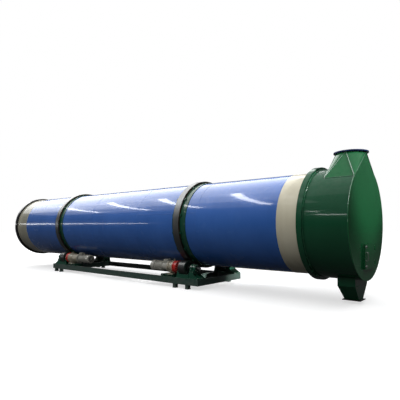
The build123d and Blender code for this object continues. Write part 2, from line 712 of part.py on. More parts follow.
def hood_shell():
    """Rolled hood shell with the openings for the outlet above and the chute below."""
    shell = ring(HOOD_RADIUS, HOOD_INNER_RADIUS, (HOOD_START_X, END_PLATE_X))
    half = OUTLET_BASE_HALF_WIDTH - OUTLET_WALL
    top = AXIS_HEIGHT + HOOD_RADIUS
    outlet_x = (END_PLATE_X - OUTLET_BASE_LENGTH + OUTLET_WALL, END_PLATE_X - OUTLET_WALL)
    shell -= block(outlet_x, (-half, half), (AXIS_HEIGHT, top))
    chute_x = chute_span(CHUTE_WALL)
    chute_half = CHUTE_WIDTH / 2 - CHUTE_WALL
    shell -= block(chute_x, (-chute_half, chute_half), (AXIS_HEIGHT - HOOD_RADIUS, AXIS_HEIGHT))
    return shell


def chute_span(wall):
    """Low and high X of the chute's neck, inside a wall."""
    high = END_PLATE_X - CHUTE_BACK_GAP
    return (high - CHUTE_LENGTH + wall, high - wall)


def hood_end_plate():
    """Round end plate with the door's aperture."""
    plate = rod(HOOD_RADIUS + END_PLATE_LIP, (END_PLATE_X, END_FACE_X))
    half_width = DOOR_WIDTH / 2 - DOOR_FRAME_OUTER_INSET - DOOR_FRAME_BAR
    half_height = DOOR_HEIGHT / 2 - DOOR_FRAME_OUTER_INSET - DOOR_FRAME_BAR
    return plate - block(
        (END_PLATE_X, END_FACE_X),
        (-half_width, half_width),
        (DOOR_Z - half_height, DOOR_Z + half_height),
    )


def rectangle_to_round(inset):
    """Closed solid of the outlet: four flat triangles and four oblique cones between a rectangle and a circle.

    Each cone has its apex on a corner of the rectangle and stands on a quarter of the circle."""
    low_x = END_PLATE_X - OUTLET_BASE_LENGTH + inset
    high_x = END_PLATE_X - inset
    half = OUTLET_BASE_HALF_WIDTH - inset
    base = AXIS_HEIGHT + math.sqrt(HOOD_RADIUS**2 - OUTLET_BASE_HALF_WIDTH**2)
    top = AXIS_HEIGHT + OUTLET_TOP_HEIGHT - OUTLET_FLANGE_WALL
    radius = OUTLET_RADIUS - inset
    corners = [(high_x, half), (low_x, half), (low_x, -half), (high_x, -half)]
    ways = [(1, 0), (0, 1), (-1, 0), (0, -1)]
    rim = [(OUTLET_X + radius * cx, radius * cy) for cx, cy in ways]
    core = ConvexPolyhedron([(cx, cy, base) for cx, cy in corners] + [(rx, ry, top) for rx, ry in rim])
    solid = core
    for i, (cx, cy) in enumerate(corners):
        first, last = rim[i], rim[(i + 1) % 4]
        turn = math.radians(45 + 90 * i)
        middle = (OUTLET_X + radius * math.cos(turn), radius * math.sin(turn), top)
        arc = ThreePointArc((*first, top), middle, (*last, top))
        segment = make_face([arc, Line((*last, top), (*first, top))])
        solid += loft([segment, Vertex(cx, cy, base)])
    return solid


def outlet_transition():
    """Sheet metal transition from the hood's rectangular opening to the round outlet."""
    sheet = rectangle_to_round(0) - rectangle_to_round(OUTLET_WALL)
    return sheet - rod(HOOD_RADIUS, (HOOD_START_X, END_PLATE_X))


def outlet_flange():
    """Round flange on the outlet with its bolt holes."""
    top = AXIS_HEIGHT + OUTLET_TOP_HEIGHT
    middle = Pos(OUTLET_X, 0, top - OUTLET_FLANGE_WALL / 2)
    flange = Cylinder(OUTLET_FLANGE_RADIUS, OUTLET_FLANGE_WALL)
    flange -= Cylinder(OUTLET_RADIUS - OUTLET_WALL, OUTLET_FLANGE_WALL)
    holes = PolarLocations(OUTLET_BOLT_CIRCLE_DIAMETER / 2, OUTLET_BOLT_COUNT)
    flange -= holes * Cylinder(FLANGE_HOLE_RADIUS, OUTLET_FLANGE_WALL)
    return middle * flange


def chute_body(wall):
    """Closed solid of the chute inside a wall: a straight neck and a taper down to the mouth."""
    low, high = chute_span(wall)
    middle = (low + high) / 2
    neck_z = AXIS_HEIGHT - CHUTE_NECK_DROP
    mouth_z = AXIS_HEIGHT - CHUTE_BOTTOM_DROP + CHUTE_FLANGE_WALL
    half = CHUTE_WIDTH / 2 - wall
    neck = block((low, high), (-half, half), (neck_z, AXIS_HEIGHT - HOOD_INNER_RADIUS / 2))
    upper = Pos(middle, 0, neck_z) * Rectangle(high - low, 2 * half)
    mouth = Rectangle(CHUTE_MOUTH_LENGTH - 2 * wall, CHUTE_MOUTH_WIDTH - 2 * wall)
    lower = Pos(middle + CHUTE_MOUTH_SHIFT, 0, mouth_z) * mouth
    return neck + loft([lower, upper], ruled=True)


def discharge_chute():
    """Welded chute that hangs under the hood."""
    chute = chute_body(0) - chute_body(CHUTE_WALL)
    return chute - rod(HOOD_RADIUS, (HOOD_START_X, END_PLATE_X))


def chute_flange():
    """Flat flange round the chute's mouth with bolt holes at its corners."""
    low, high = chute_span(0)
    bottom = AXIS_HEIGHT - CHUTE_BOTTOM_DROP
    length = CHUTE_MOUTH_LENGTH + 2 * CHUTE_FLANGE_WIDTH
    width = CHUTE_MOUTH_WIDTH + 2 * CHUTE_FLANGE_WIDTH
    flange = Box(length, width, CHUTE_FLANGE_WALL)
    flange -= Box(CHUTE_MOUTH_LENGTH - 2 * CHUTE_WALL, CHUTE_MOUTH_WIDTH - 2 * CHUTE_WALL, CHUTE_FLANGE_WALL)
    holes = GridLocations(length - 2 * CHUTE_HOLE_INSET, width - 2 * CHUTE_HOLE_INSET, 2, 2)
    flange -= holes * Cylinder(FLANGE_HOLE_RADIUS, CHUTE_FLANGE_WALL)
    return Pos((low + high) / 2 + CHUTE_MOUTH_SHIFT, 0, bottom + CHUTE_FLANGE_WALL / 2) * flange


def hinge_x():
    """X of the door's hinge axis, in the middle of the leaf's thickness."""
    return END_FACE_X + DOOR_FRAME_DEPTH + DOOR_GASKET + DOOR_LEAF_WALL / 2


def hinge_heights():
    """Z of the middle of each hinge."""
    return [DOOR_Z - HINGE_SPACING / 2, DOOR_Z + HINGE_SPACING / 2]


def door_frame():
    """Raised frame round the door's aperture, with the hinge lugs and pins on its far side."""
    outer_half = DOOR_WIDTH / 2 - DOOR_FRAME_OUTER_INSET
    outer_height = DOOR_HEIGHT / 2 - DOOR_FRAME_OUTER_INSET
    inner_half = outer_half - DOOR_FRAME_BAR
    inner_height = outer_height - DOOR_FRAME_BAR
    depth = (END_FACE_X, END_FACE_X + DOOR_FRAME_DEPTH)
    frame = block(depth, (-outer_half, outer_half), (DOOR_Z - outer_height, DOOR_Z + outer_height))
    frame -= block(depth, (-inner_half, inner_half), (DOOR_Z - inner_height, DOOR_Z + inner_height))
    pivot_y = DOOR_WIDTH / 2 + HINGE_OFFSET
    lug_end = pivot_y + HINGE_KNUCKLE_RADIUS
    lug_eye = Cylinder(HINGE_KNUCKLE_RADIUS, HINGE_LUG_WALL)
    for z in hinge_heights():
        reach = HINGE_KNUCKLE_LENGTH / 2 + HINGE_END_GAP
        for low in (z + reach, z - reach - HINGE_LUG_WALL):
            height = (low, low + HINGE_LUG_WALL)
            frame += block(depth, (outer_half, lug_end), height)
            frame += block((END_FACE_X, hinge_x()), (pivot_y - HINGE_KNUCKLE_RADIUS, lug_end), height)
            frame += Pos(hinge_x(), pivot_y, low + HINGE_LUG_WALL / 2) * lug_eye
        frame += Pos(hinge_x(), pivot_y, z) * Cylinder(HINGE_PIN_RADIUS, 2 * (reach + HINGE_LUG_WALL))
    return frame


def door_leaf():
    """Flat door leaf with rounded corners and its two hinge knuckles."""
    low = END_FACE_X + DOOR_FRAME_DEPTH + DOOR_GASKET
    leaf = extrude(Plane.YZ * RectangleRounded(DOOR_WIDTH, DOOR_HEIGHT, DOOR_CORNER), DOOR_LEAF_WALL)
    leaf = Pos(low, 0, DOOR_Z) * leaf
    pivot_y = DOOR_WIDTH / 2 + HINGE_OFFSET
    reach = HINGE_KNUCKLE_LENGTH / 2
    slot = reach + HINGE_END_GAP + HINGE_LUG_WALL + HINGE_LUG_CLEARANCE
    slot_y = pivot_y - HINGE_KNUCKLE_RADIUS - DOOR_FRAME_DEPTH / 2 - HINGE_LUG_CLEARANCE
    leaf_x = (low, low + DOOR_LEAF_WALL)
    for z in hinge_heights():
        leaf -= block(leaf_x, (slot_y, DOOR_WIDTH / 2), (z - slot, z - reach))
        leaf -= block(leaf_x, (slot_y, DOOR_WIDTH / 2), (z + reach, z + slot))
        leaf += block(leaf_x, (slot_y, pivot_y), (z - reach, z + reach))
        leaf += Pos(hinge_x(), pivot_y, z) * Cylinder(HINGE_KNUCKLE_RADIUS, HINGE_KNUCKLE_LENGTH)
        leaf -= Pos(hinge_x(), pivot_y, z) * Cylinder(HINGE_PIN_RADIUS + HINGE_CLEARANCE, HINGE_KNUCKLE_LENGTH)
    return leaf


def door_handle():
    """Bent round bar welded to the leaf near its free edge."""
    face = END_FACE_X + DOOR_FRAME_DEPTH + DOOR_GASKET + DOOR_LEAF_WALL
    y = -DOOR_WIDTH / 2 + HANDLE_INSET
    half = HANDLE_LENGTH / 2
    out = face + HANDLE_REACH - HANDLE_RADIUS
    path = FilletPolyline(
        (face, y, DOOR_Z - half),
        (out, y, DOOR_Z - half),
        (out, y, DOOR_Z + half),
        (face, y, DOOR_Z + half),
        radius=2 * HANDLE_RADIUS,
    )
    section = Plane(origin=(face, y, DOOR_Z - half), z_dir=(1, 0, 0)) * Circle(HANDLE_RADIUS)
    return sweep(section, path=path)


def build():
    """Every piece of the dryer by its node's name."""
    feed_course_end = FEED_END_X + FEED_COURSE_LENGTH
    discharge_course_start = DISCHARGE_END_X - DISCHARGE_COURSE_LENGTH
    bore = DRUM_RADIUS - SHELL_WALL
    end_ring_x = (FEED_END_X, FEED_END_X + END_RING_WIDTH)
    nodes = {
        "feed_shell_course": shell_course(FEED_END_X, FEED_COURSE_LENGTH),
        "main_shell": shell_course(feed_course_end, discharge_course_start - feed_course_end),
        "discharge_shell_course": shell_course(discharge_course_start, DISCHARGE_COURSE_LENGTH),
        "feed_end_ring": ring(DRUM_RADIUS + END_RING_HEIGHT, DRUM_RADIUS, end_ring_x, END_RING_CHAMFER),
        "feed_dam_ring": ring(bore, DAM_RING_BORE, (FEED_END_X, FEED_END_X + DAM_RING_WALL)),
        "lifting_flights": lifting_flights(),
        "near_beam": side_beam(-1),
        "far_beam": side_beam(1),
        "cross_beams": cross_beams(),
        "foot_blocks": foot_blocks(),
        "hood_shell": hood_shell(),
        "hood_seal_ring": hood_seal_ring(),
        "hood_end_plate": hood_end_plate(),
        "outlet_transition": outlet_transition(),
        "outlet_flange": outlet_flange(),
        "discharge_chute": discharge_chute(),
        "chute_flange": chute_flange(),
        "door_frame": door_frame(),
        "door_leaf": door_leaf(),
        "door_handle": door_handle(),
    }
    for station, (x, out) in STATIONS.items():
        nodes[f"{station}_tyre"] = tyre(x)
        nodes[f"{station}_tyre_band"] = tyre_band(x)
        nodes[f"{station}_near_roller"] = roller(x, out, -ROLLER_Y, True)
        nodes[f"{station}_far_roller"] = roller(x, out, ROLLER_Y, False)
        nodes[f"{station}_bearings"] = station_bearings(x, out)
        nodes[f"{station}_pedestals"] = pedestals(x, out)
        nodes[f"{station}_coupling"] = drive_coupling(x, out)
        nodes[f"{station}_reducer_ring"] = reducer_ring(x, out)
        nodes[f"{station}_reducer_housing"] = reducer_housing(x, out)
        nodes[f"{station}_motor"] = motor(x, out)
        nodes[f"{station}_fan_cowl"] = fan_cowl(x, out)
        nodes[f"{station}_drive_plinth"] = drive_plinth(x, out)
    return nodes


os.makedirs("parts", exist_ok=True)
for name, shape in build().items():
    if isinstance(shape, list):
        shape = Compound(children=[solid for piece in shape for solid in piece.solids()])
    export_step(shape, f"parts/{name}.step")
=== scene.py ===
import math

import bmesh
import bpy
from mathutils import Matrix, Vector


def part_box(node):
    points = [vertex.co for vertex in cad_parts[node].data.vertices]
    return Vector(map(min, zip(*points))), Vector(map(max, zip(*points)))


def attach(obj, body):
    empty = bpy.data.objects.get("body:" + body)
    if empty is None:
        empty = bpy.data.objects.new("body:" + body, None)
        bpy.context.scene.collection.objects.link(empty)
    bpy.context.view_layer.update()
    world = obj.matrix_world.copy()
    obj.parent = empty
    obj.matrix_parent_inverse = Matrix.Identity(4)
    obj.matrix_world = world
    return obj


# Rotary dryer: a long blue drum that lies on two riding tyres and four friction rollers, driven by two
# geared motors on a low skid, with a green discharge hood at one end. Metres. +X runs along the drum to the
# hood, the drives stand on the -Y side, and z = 0 is the floor.
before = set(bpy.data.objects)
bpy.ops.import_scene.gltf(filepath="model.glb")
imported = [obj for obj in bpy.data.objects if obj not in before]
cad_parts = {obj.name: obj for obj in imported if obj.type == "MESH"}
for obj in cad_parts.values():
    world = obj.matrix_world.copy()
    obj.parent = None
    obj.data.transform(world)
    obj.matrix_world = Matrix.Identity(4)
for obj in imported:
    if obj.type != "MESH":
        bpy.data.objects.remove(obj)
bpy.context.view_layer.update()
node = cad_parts

# The view: from 1.5 m above the floor, 7.7 m beside the drum's axis and 2.1 m past the hood, looking back
# along the drum and slightly up, with the small shift of the photograph's framing.
EYE = Vector((8.748, -7.742, 1.507))
VIEW_AZIMUTH = 38.87
VIEW_TILT = 1.77
LENS = 33.11
SHIFT_X = -0.0261
SHIFT_Y = 0.0443

camera = bpy.data.objects.new("camera", bpy.data.cameras.new("camera"))
bpy.context.scene.collection.objects.link(camera)
bpy.context.scene.camera = camera
camera.location = EYE
camera.rotation_euler = (math.radians(90 + VIEW_TILT), 0, math.radians(VIEW_AZIMUTH))
camera.data.sensor_width = 36.0
camera.data.lens = LENS
camera.data.shift_x = SHIFT_X
camera.data.shift_y = SHIFT_Y
camera.data.clip_end = 500.0
bpy.context.scene.view_settings.view_transform = "Standard"


# The drum's shell: rolled steel courses butt-welded end to end and sprayed with glossy royal blue enamel. The
# plates are a little wavy between the seams, so long reflections in the gloss bend and break.
class Value:
    """A shader value. Arithmetic on it adds Math nodes."""

    def __init__(self, finish, socket):
        self.finish = finish
        self.socket = socket

    def math(self, operation, *others):
        sockets = dict(enumerate([self, *others]))
        return self.finish.node("ShaderNodeMath", {"operation": operation}, sockets)

    def __add__(self, other):
        return self.math("ADD", other)

    def __mul__(self, other):
        return self.math("MULTIPLY", other)

    def __sub__(self, other):
        return self.math("SUBTRACT", other)

    def __rsub__(self, other):
        return self.math("MULTIPLY_ADD", -1.0, other)

    def __abs__(self):
        return self.math("ABSOLUTE")

    __radd__ = __add__
    __rmul__ = __mul__


class Finish:
    """A material under construction around one Principled shader."""

    def __init__(self, name, **fixed):
        self.material = bpy.data.materials.new(name)
        self.material.use_nodes = True
        self.tree = self.material.node_tree
        self.shader = self.tree.nodes["Principled BSDF"]
        self.place = self.node("ShaderNodeTexCoord", output="Object")
        for socket, value in fixed.items():
            self.set(socket.replace("_", " "), value)

    def node(self, kind, settings=None, sockets=None, output=0):
        made = self.tree.nodes.new(kind)
        for name, value in (settings or {}).items():
            setattr(made, name, value)
        for name, value in (sockets or {}).items():
            if isinstance(value, Value):
                self.tree.links.new(value.socket, made.inputs[name])
            else:
                made.inputs[name].default_value = value
        return Value(self, made.outputs[output])

    def set(self, socket, value):
        if isinstance(value, Value):
            self.tree.links.new(value.socket, self.shader.inputs[socket])
        else:
            self.shader.inputs[socket].default_value = value

    def noise(self, scale, detail=2.0, stretch=(1, 1, 1)):
        place = self.node("ShaderNodeVectorMath", {"operation": "MULTIPLY"}, {0: self.place, 1: stretch})
        return self.node("ShaderNodeTexNoise", None, {"Vector": place, "Scale": scale, "Detail": detail})

    def band(self, value, low, high, start=0.0, end=1.0):
        """A value's course from low to high, drawn out to run from start to end."""
        sockets = {"Value": value, "From Min": low, "From Max": high, "To Min": start, "To Max": end}
        return self.node("ShaderNodeMapRange", {"clamp": True}, sockets)

    def place_along(self, axis):
        return self.node("ShaderNodeSeparateXYZ", None, {0: self.place}, axis)

    def facing(self, axis):
        normal = self.node("ShaderNodeNewGeometry", output="Normal")
        return self.node("ShaderNodeSeparateXYZ", None, {0: normal}, axis)

    def inside(self, radius):
        """1 nearer to the drum's axis than a radius, 0 outside it."""
        position = self.node("ShaderNodeNewGeometry", output="Position")
        across = self.node("ShaderNodeVectorMath", {"operation": "MULTIPLY_ADD"},
                           {0: position, 1: (0, 1, 1), 2: (0, 0, -AXIS_Z)})
        distance = self.node("ShaderNodeVectorMath", {"operation": "LENGTH"}, {0: across}, "Value")
        return self.band(distance, radius - 0.003, radius, 1.0, 0.0)

    def mix(self, mask, first, second):
        return self.node("ShaderNodeMix", {"data_type": "RGBA"}, {0: mask, 6: first, 7: second}, 2)

    def bump(self, height):
        self.set("Normal", self.node("ShaderNodeBump", None, {"Height": height, "Distance": 1.0}))


def rgb(red, green, blue):
    return (red, green, blue, 1.0)


shell_low, shell_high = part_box("main_shell")
AXIS_Z = (shell_low.z + shell_high.z) / 2
SHELL_RADIUS = (shell_high.z - shell_low.z) / 2
BORE = SHELL_RADIUS - 0.002
DUST = rgb(0.33, 0.31, 0.27)
SOOT = rgb(0.20, 0.17, 0.14)
BROWN_GRIME = rgb(0.10, 0.07, 0.05)


def enamel(name, colour, faded, roughness, wave, dust, coat=0.5, bare=0.0):
    """Sprayed enamel on plate: cloudy colour, runs, orange peel, a wavy plate and settled dust. Nearer to
    the drum's axis than the bare radius the plate has no paint, only soot and brown grime."""
    paint = Finish(name, Coat_Weight=coat, Coat_Roughness=0.07, Specular_IOR_Level=0.08)
    clouds = paint.band(paint.noise(1.1, detail=5.0), 0.35, 0.68)
    runs = paint.band(paint.noise(5.0, detail=3.0, stretch=(1, 0.12, 0.12)), 0.5, 0.75) * 0.35
    tone = paint.mix(clouds * 0.8 + runs, colour, faded)
    patches = paint.band(paint.noise(9.0, detail=6.0), 0.4, 0.75)
    settled = paint.band(paint.facing("Z"), 0.25, 1.0) * patches * dust
    tone = paint.mix(settled, tone, DUST)
    worn = paint.noise(3.0, detail=4.0)
    matt = paint.band(worn, 0.3, 0.7, roughness * 0.8, roughness * 1.3) + settled * 0.5
    if bare:
        unpainted = paint.inside(bare)
        crust = paint.band(paint.noise(3.5, detail=8.0), 0.4, 0.65)
        tone = paint.mix(unpainted, tone, paint.mix(crust, SOOT, BROWN_GRIME))
        matt = matt + unpainted * 0.4
        paint.set("Coat Weight", (1.0 - unpainted) * coat)
    paint.set("Base Color", tone)
    paint.set("Roughness", matt)
    long_waves = paint.noise(0.9, detail=0.0, stretch=(0.5, 1, 1)) * wave
    short_waves = paint.noise(3.1, detail=0.0, stretch=(0.6, 1, 1)) * (wave * 0.1)
    orange_peel = paint.noise(90.0, detail=1.0) * 0.000010
    paint.bump(long_waves + short_waves + orange_peel)
    return paint


def dress(finish, *names):
    for name in names:
        slots = node[name].data.materials
        slots.clear()
        slots.append(finish.material)


drum_blue = enamel("drum_blue_enamel", colour=rgb(0.032, 0.113, 0.385), faded=rgb(0.044, 0.138, 0.450),
                   roughness=0.22, wave=0.010, dust=0.08, bare=BORE)
dress(drum_blue, "main_shell")

# The two end courses of the drum: the same rolled plate in cream enamel, with less gloss than the blue and
# more road dust. The course at the feed end is stained to a dirty grey.
drum_cream = enamel("drum_cream_enamel", colour=rgb(0.54, 0.50, 0.375), faded=rgb(0.64, 0.60, 0.475),
                    roughness=0.32, wave=0.006, dust=0.25, coat=0.4, bare=BORE)
dress(drum_cream, "discharge_shell_course")
stained_cream = enamel("stained_cream_enamel", colour=rgb(0.24, 0.235, 0.185), faded=rgb(0.40, 0.38, 0.295),
                       roughness=0.34, wave=0.004, dust=0.2, coat=0.4, bare=BORE)
dress(stained_cream, "feed_shell_course")

# The drum's girth seams, ground low and painted over in the colour of their course: the joints at both cream
# courses and those between the five blue plates, each of which also has one seam along the drum.
SEAM_RADIUS = 0.0035
PLATE_COUNT = 5
PLATE_LENGTH = (shell_high.x - shell_low.x) / PLATE_COUNT
FIRST_SEAM_TURN = 115
NEXT_SEAM_TURN = 137


def hoop(x, radius, count=120):
    """Points of a circle about the drum's axis."""
    turns = [2 * math.pi * i / count for i in range(count)]
    return [Vector((x, radius * math.cos(turn), AXIS_Z + radius * math.sin(turn))) for turn in turns]


def bead(name, body, finish, paths, radius, closed=True):
    """Weld beads as one piece, each a round rod sunk halfway into the corner or face that it follows."""
    rods = bpy.data.curves.new(name, "CURVE")
    rods.dimensions = "3D"
    rods.bevel_depth = radius
    rods.bevel_resolution = 1
    rods.use_fill_caps = True
    for path in paths:
        spline = rods.splines.new("POLY")
        spline.points.add(len(path) - 1)
        for point, spot in zip(spline.points, path):
            point.co = (*spot, 1.0)
        spline.use_cyclic_u = closed
    rods.materials.append(finish.material)
    item = bpy.data.objects.new(name, rods)
    bpy.context.scene.collection.objects.link(item)
    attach(item, body)


starts = [shell_low.x + PLATE_LENGTH * i for i in range(PLATE_COUNT)]
girths = [hoop(x, SHELL_RADIUS) for x in starts[1:]]
bead("blue_girth_seams", "drum", drum_blue, girths, SEAM_RADIUS)
ends = [hoop(x, SHELL_RADIUS) for x in (shell_low.x, shell_high.x)]
bead("course_girth_seams", "drum", drum_cream, ends, SEAM_RADIUS)
lengths = []
for i, start in enumerate(starts):
    turn = math.radians(FIRST_SEAM_TURN + NEXT_SEAM_TURN * i)
    y, z = SHELL_RADIUS * math.cos(turn), AXIS_Z + SHELL_RADIUS * math.sin(turn)
    lengths.append([Vector((start, y, z)), Vector((start + PLATE_LENGTH, y, z))])
bead("blue_length_seams", "drum", drum_blue, lengths, SEAM_RADIUS, closed=False)

# The feed end: a stiffening ring of flat bar round the mouth, in black enamel, welded to the course behind it
# with a full fillet. PROUD is how far the middle of a fillet stands off the plate.
PROUD = 0.001
DRUM_FILLET = 0.006
black = enamel("black_enamel", colour=rgb(0.007, 0.007, 0.008), faded=rgb(0.014, 0.014, 0.014),
               roughness=0.3, wave=0.001, dust=0.2)
dress(black, "feed_end_ring")
ring_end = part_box("feed_end_ring")[1].x
bead("end_ring_weld", "drum", black, [hoop(ring_end, SHELL_RADIUS + PROUD)], DRUM_FILLET)

# Inside the drum: a dam ring that keeps the material from falling back out of the mouth, and lifting flights
# of bent plate. All of it is bare steel, scoured by what it carries, dusty brown where it is not.
scoured = Finish("scoured_steel", Metallic=0.85)
grime = scoured.band(scoured.noise(3.5, detail=8.0, stretch=(0.3, 1, 1)), 0.4, 0.65)
scoured.set("Base Color", scoured.mix(grime, rgb(0.36, 0.33, 0.29), rgb(0.13, 0.095, 0.07)))
scoured.set("Roughness", scoured.band(grime, 0.0, 1.0, 0.35, 0.75))
scoured.bump(scoured.noise(26.0, detail=5.0, stretch=(0.2, 1, 1)) * 0.0006)
dress(scoured, "feed_dam_ring", "lifting_flights")
dam_low, dam_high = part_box("feed_dam_ring")
dam_edge = hoop(dam_high.x, (dam_high.z - dam_low.z) / 2)
bead("dam_ring_weld", "drum", scoured, [dam_edge], DRUM_FILLET)

# The two riding tyres: forged and turned steel rings shrunk over their bands. The tread is rolled dark and
# shiny by the rollers with fine lines round it, and the side faces keep a thin oily rust.
tyre_steel = Finish("rolled_tyre_steel", Metallic=0.9)
flank = tyre_steel.band(abs(tyre_steel.facing("X")), 0.4, 0.6)
lines = tyre_steel.noise(150.0, stretch=(1, 0.015, 0.015))
stain = tyre_steel.band(tyre_steel.noise(2.2, detail=6.0), 0.35, 0.7)
tread = tyre_steel.mix(lines * 0.8 + stain * 0.4, rgb(0.055, 0.058, 0.060), rgb(0.13, 0.132, 0.130))
oily_rust = tyre_steel.mix(stain, rgb(0.055, 0.05, 0.045), rgb(0.10, 0.07, 0.045))
tyre_steel.set("Base Color", tyre_steel.mix(flank, tread, oily_rust))
tyre_steel.set("Roughness", tyre_steel.band(lines * 0.5 + stain * 0.5 + flank * 0.5, 0.2, 1.2, 0.3, 0.6))
tyre_steel.bump(lines * 0.00012 + stain * 0.0001)
dress(tyre_steel, "feed_tyre", "discharge_tyre")

# Under each tyre a band of thicker plate is welded round the shell, with stop blocks that hold the tyre from
# both sides, in dark machine green. Domed plug welds near the band's long edge fix it to the shell. They and
# the hood's welds, folds and ring bolts have a glossier green whose lighter colour is a painted highlight, so
# that they read as glints.
machine_green = enamel("machine_green_enamel", colour=rgb(0.007, 0.052, 0.030),
                       faded=rgb(0.011, 0.070, 0.041), roughness=0.34, wave=0.001, dust=0.3, coat=0.4)
dress(machine_green, "feed_tyre_band", "discharge_tyre_band")
# The weld green's lighter base colour is a painted highlight; its gloss mirrors the lamps.
weld_green_painted_highlight = enamel("weld_green_painted_highlight_enamel", colour=rgb(0.012, 0.11, 0.045), faded=rgb(0.018, 0.13, 0.06),
                    roughness=0.12, wave=0.0002, dust=0.0, coat=1.0)
weld_green_painted_highlight.set("Coat IOR", 2.0)
SUNK = -0.001
PLUG_COUNT = 24
PLUG_RADIUS = 0.016
PLUG_INSET = 0.024
PLUG_DOME = [(SUNK, 1.0), (0.003, 0.93), (0.007, 0.6), (0.009, 0)]
BAND_PLATE = 0.012


class Stock:
    """Metal under construction: turned, cut and bolted shapes that become one piece. A turned shape starts
    at the depth SUNK, below the face that it stands on."""

    def __init__(self):
        self.mesh = bmesh.new()

    def turn(self, place, profile, segments=20):
        """Turns (height, radius) points about the Z axis of place."""
        rings = []
        for height, radius in profile:
            if radius == 0:
                rings.append([self.mesh.verts.new(place @ Vector((0, 0, height)))])
                continue
            angles = [2 * math.pi * i / segments for i in range(segments)]
            spots = [(radius * math.cos(angle), radius * math.sin(angle), height) for angle in angles]
            rings.append([self.mesh.verts.new(place @ Vector(spot)) for spot in spots])
        for lower, upper in zip(rings, rings[1:]):
            for i in range(segments):
                j = (i + 1) % segments
                corners = [lower[i % len(lower)], lower[j % len(lower)]]
                corners += [upper[j % len(upper)], upper[i % len(upper)]]
                self.mesh.faces.new(list(dict.fromkeys(corners)))

    def cut(self, place, size, bevel=0.002):
        """A block of that size about the middle of place, its edges broken."""
        made = bmesh.ops.create_cube(self.mesh, size=1.0, matrix=place @ Matrix.Diagonal((*size, 1.0)))
        edges = {edge for vert in made["verts"] for edge in vert.link_edges}
        bmesh.ops.bevel(self.mesh, geom=list(edges), offset=bevel, segments=2, affect="EDGES", profile=0.5)

    def bolt(self, place, thread, stud=False):
        """A washer and a hexagon head, or a nut on its stud, all in proportion to the thread."""
        washer = 0.18 * thread
        across = 1.1 * thread
        self.turn(place, [(SUNK, across), (washer, across), (washer, 0.7 * thread)], 16)
        top = washer + (0.85 if stud else 0.65) * thread
        edge = 0.08 * thread
        flats = [(washer, 0.92 * thread), (top - edge, 0.92 * thread), (top, 0.8 * thread), (top, 0)]
        self.turn(place, flats, 6)
        if stud:
            end = top + 0.4 * thread
            rod = [(top, 0.5 * thread), (end - edge, 0.5 * thread), (end, 0.4 * thread), (end, 0)]
            self.turn(place, rod, 12)

    def bolt_circle(self, place, radius, count, thread, start=0.0):
        """Bolts round the Z axis of place, the first one start degrees from its X axis."""
        for i in range(count):
            turn = Matrix.Rotation(math.radians(start + 360 * i / count), 4, "Z")
            self.bolt(place @ turn @ Matrix.Translation((radius, 0, 0)), thread)


def towards(point, way):
    """A place at a point with its Z axis along a way."""
    return Matrix.Translation(point) @ Vector(way).to_track_quat("Z", "Y").to_matrix().to_4x4()


def piece(stock, name, body, finish):
    mesh = bpy.data.meshes.new(name)
    bmesh.ops.recalc_face_normals(stock.mesh, faces=stock.mesh.faces[:])
    stock.mesh.to_mesh(mesh)
    stock.mesh.free()
    mesh.materials.append(finish.material)
    mesh.shade_smooth()
    mesh.set_sharp_from_angle(angle=math.radians(35))
    item = bpy.data.objects.new(name, mesh)
    bpy.context.scene.collection.objects.link(item)
    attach(item, body)


for station in ("feed", "discharge"):
    band_low, band_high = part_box(f"{station}_tyre_band")
    plugs = Stock()
    for i in range(PLUG_COUNT):
        turn = 2 * math.pi * i / PLUG_COUNT
        out = Vector((0, math.cos(turn), math.sin(turn)))
        spot = Vector((band_high.x - PLUG_INSET, 0, AXIS_Z)) + out * (SHELL_RADIUS + BAND_PLATE)
        plugs.turn(towards(spot, out), [(height, PLUG_RADIUS * part) for height, part in PLUG_DOME], 16)
    piece(plugs, f"{station}_band_plug_welds", "drum", weld_green_painted_highlight)
    edges = [hoop(x, SHELL_RADIUS + PROUD) for x in (band_low.x, band_high.x)]
    bead(f"{station}_band_welds", "drum", machine_green, edges, DRUM_FILLET)

# The four friction rollers: cast wheels on a shaft. Their colours are painted dark as painted shade for the
# shade under the drum: near-black steel on the turned tread, a very dark green primer with oily patches on
# the side faces. Each shaft's outer end is faced bright, with a centre hole and two screws.
roller_steel_painted_shade = Finish("roller_steel_and_primer_painted_shade")
flank = roller_steel_painted_shade.band(abs(roller_steel_painted_shade.facing("X")), 0.4, 0.6)
lines = roller_steel_painted_shade.noise(170.0, stretch=(1, 0.02, 0.02))
wear = roller_steel_painted_shade.band(roller_steel_painted_shade.noise(7.0, detail=6.0), 0.35, 0.7)
tread = roller_steel_painted_shade.mix(lines, rgb(0.035, 0.037, 0.036), rgb(0.085, 0.086, 0.083))
shaded_primer = roller_steel_painted_shade.mix(wear * 0.7, rgb(0.010, 0.032, 0.022), rgb(0.030, 0.028, 0.022))
roller_steel_painted_shade.set("Base Color", roller_steel_painted_shade.mix(flank, tread, shaded_primer))
roller_steel_painted_shade.set("Metallic", 0.9 - flank * 0.9)
roller_steel_painted_shade.set("Roughness", roller_steel_painted_shade.band(flank + wear * 0.4, 0.0, 1.4, 0.33, 0.62))
roller_steel_painted_shade.bump(lines * 0.0001 + wear * flank * 0.0002)

bright_steel = Finish("machined_steel", Metallic=1.0)
rings = bright_steel.noise(300.0)
bright_steel.set("Base Color", bright_steel.mix(rings, rgb(0.50, 0.50, 0.49), rgb(0.66, 0.65, 0.63)))
bright_steel.set("Roughness", bright_steel.band(rings, 0.3, 0.7, 0.24, 0.38))
bright_steel.bump(rings * 0.00003)

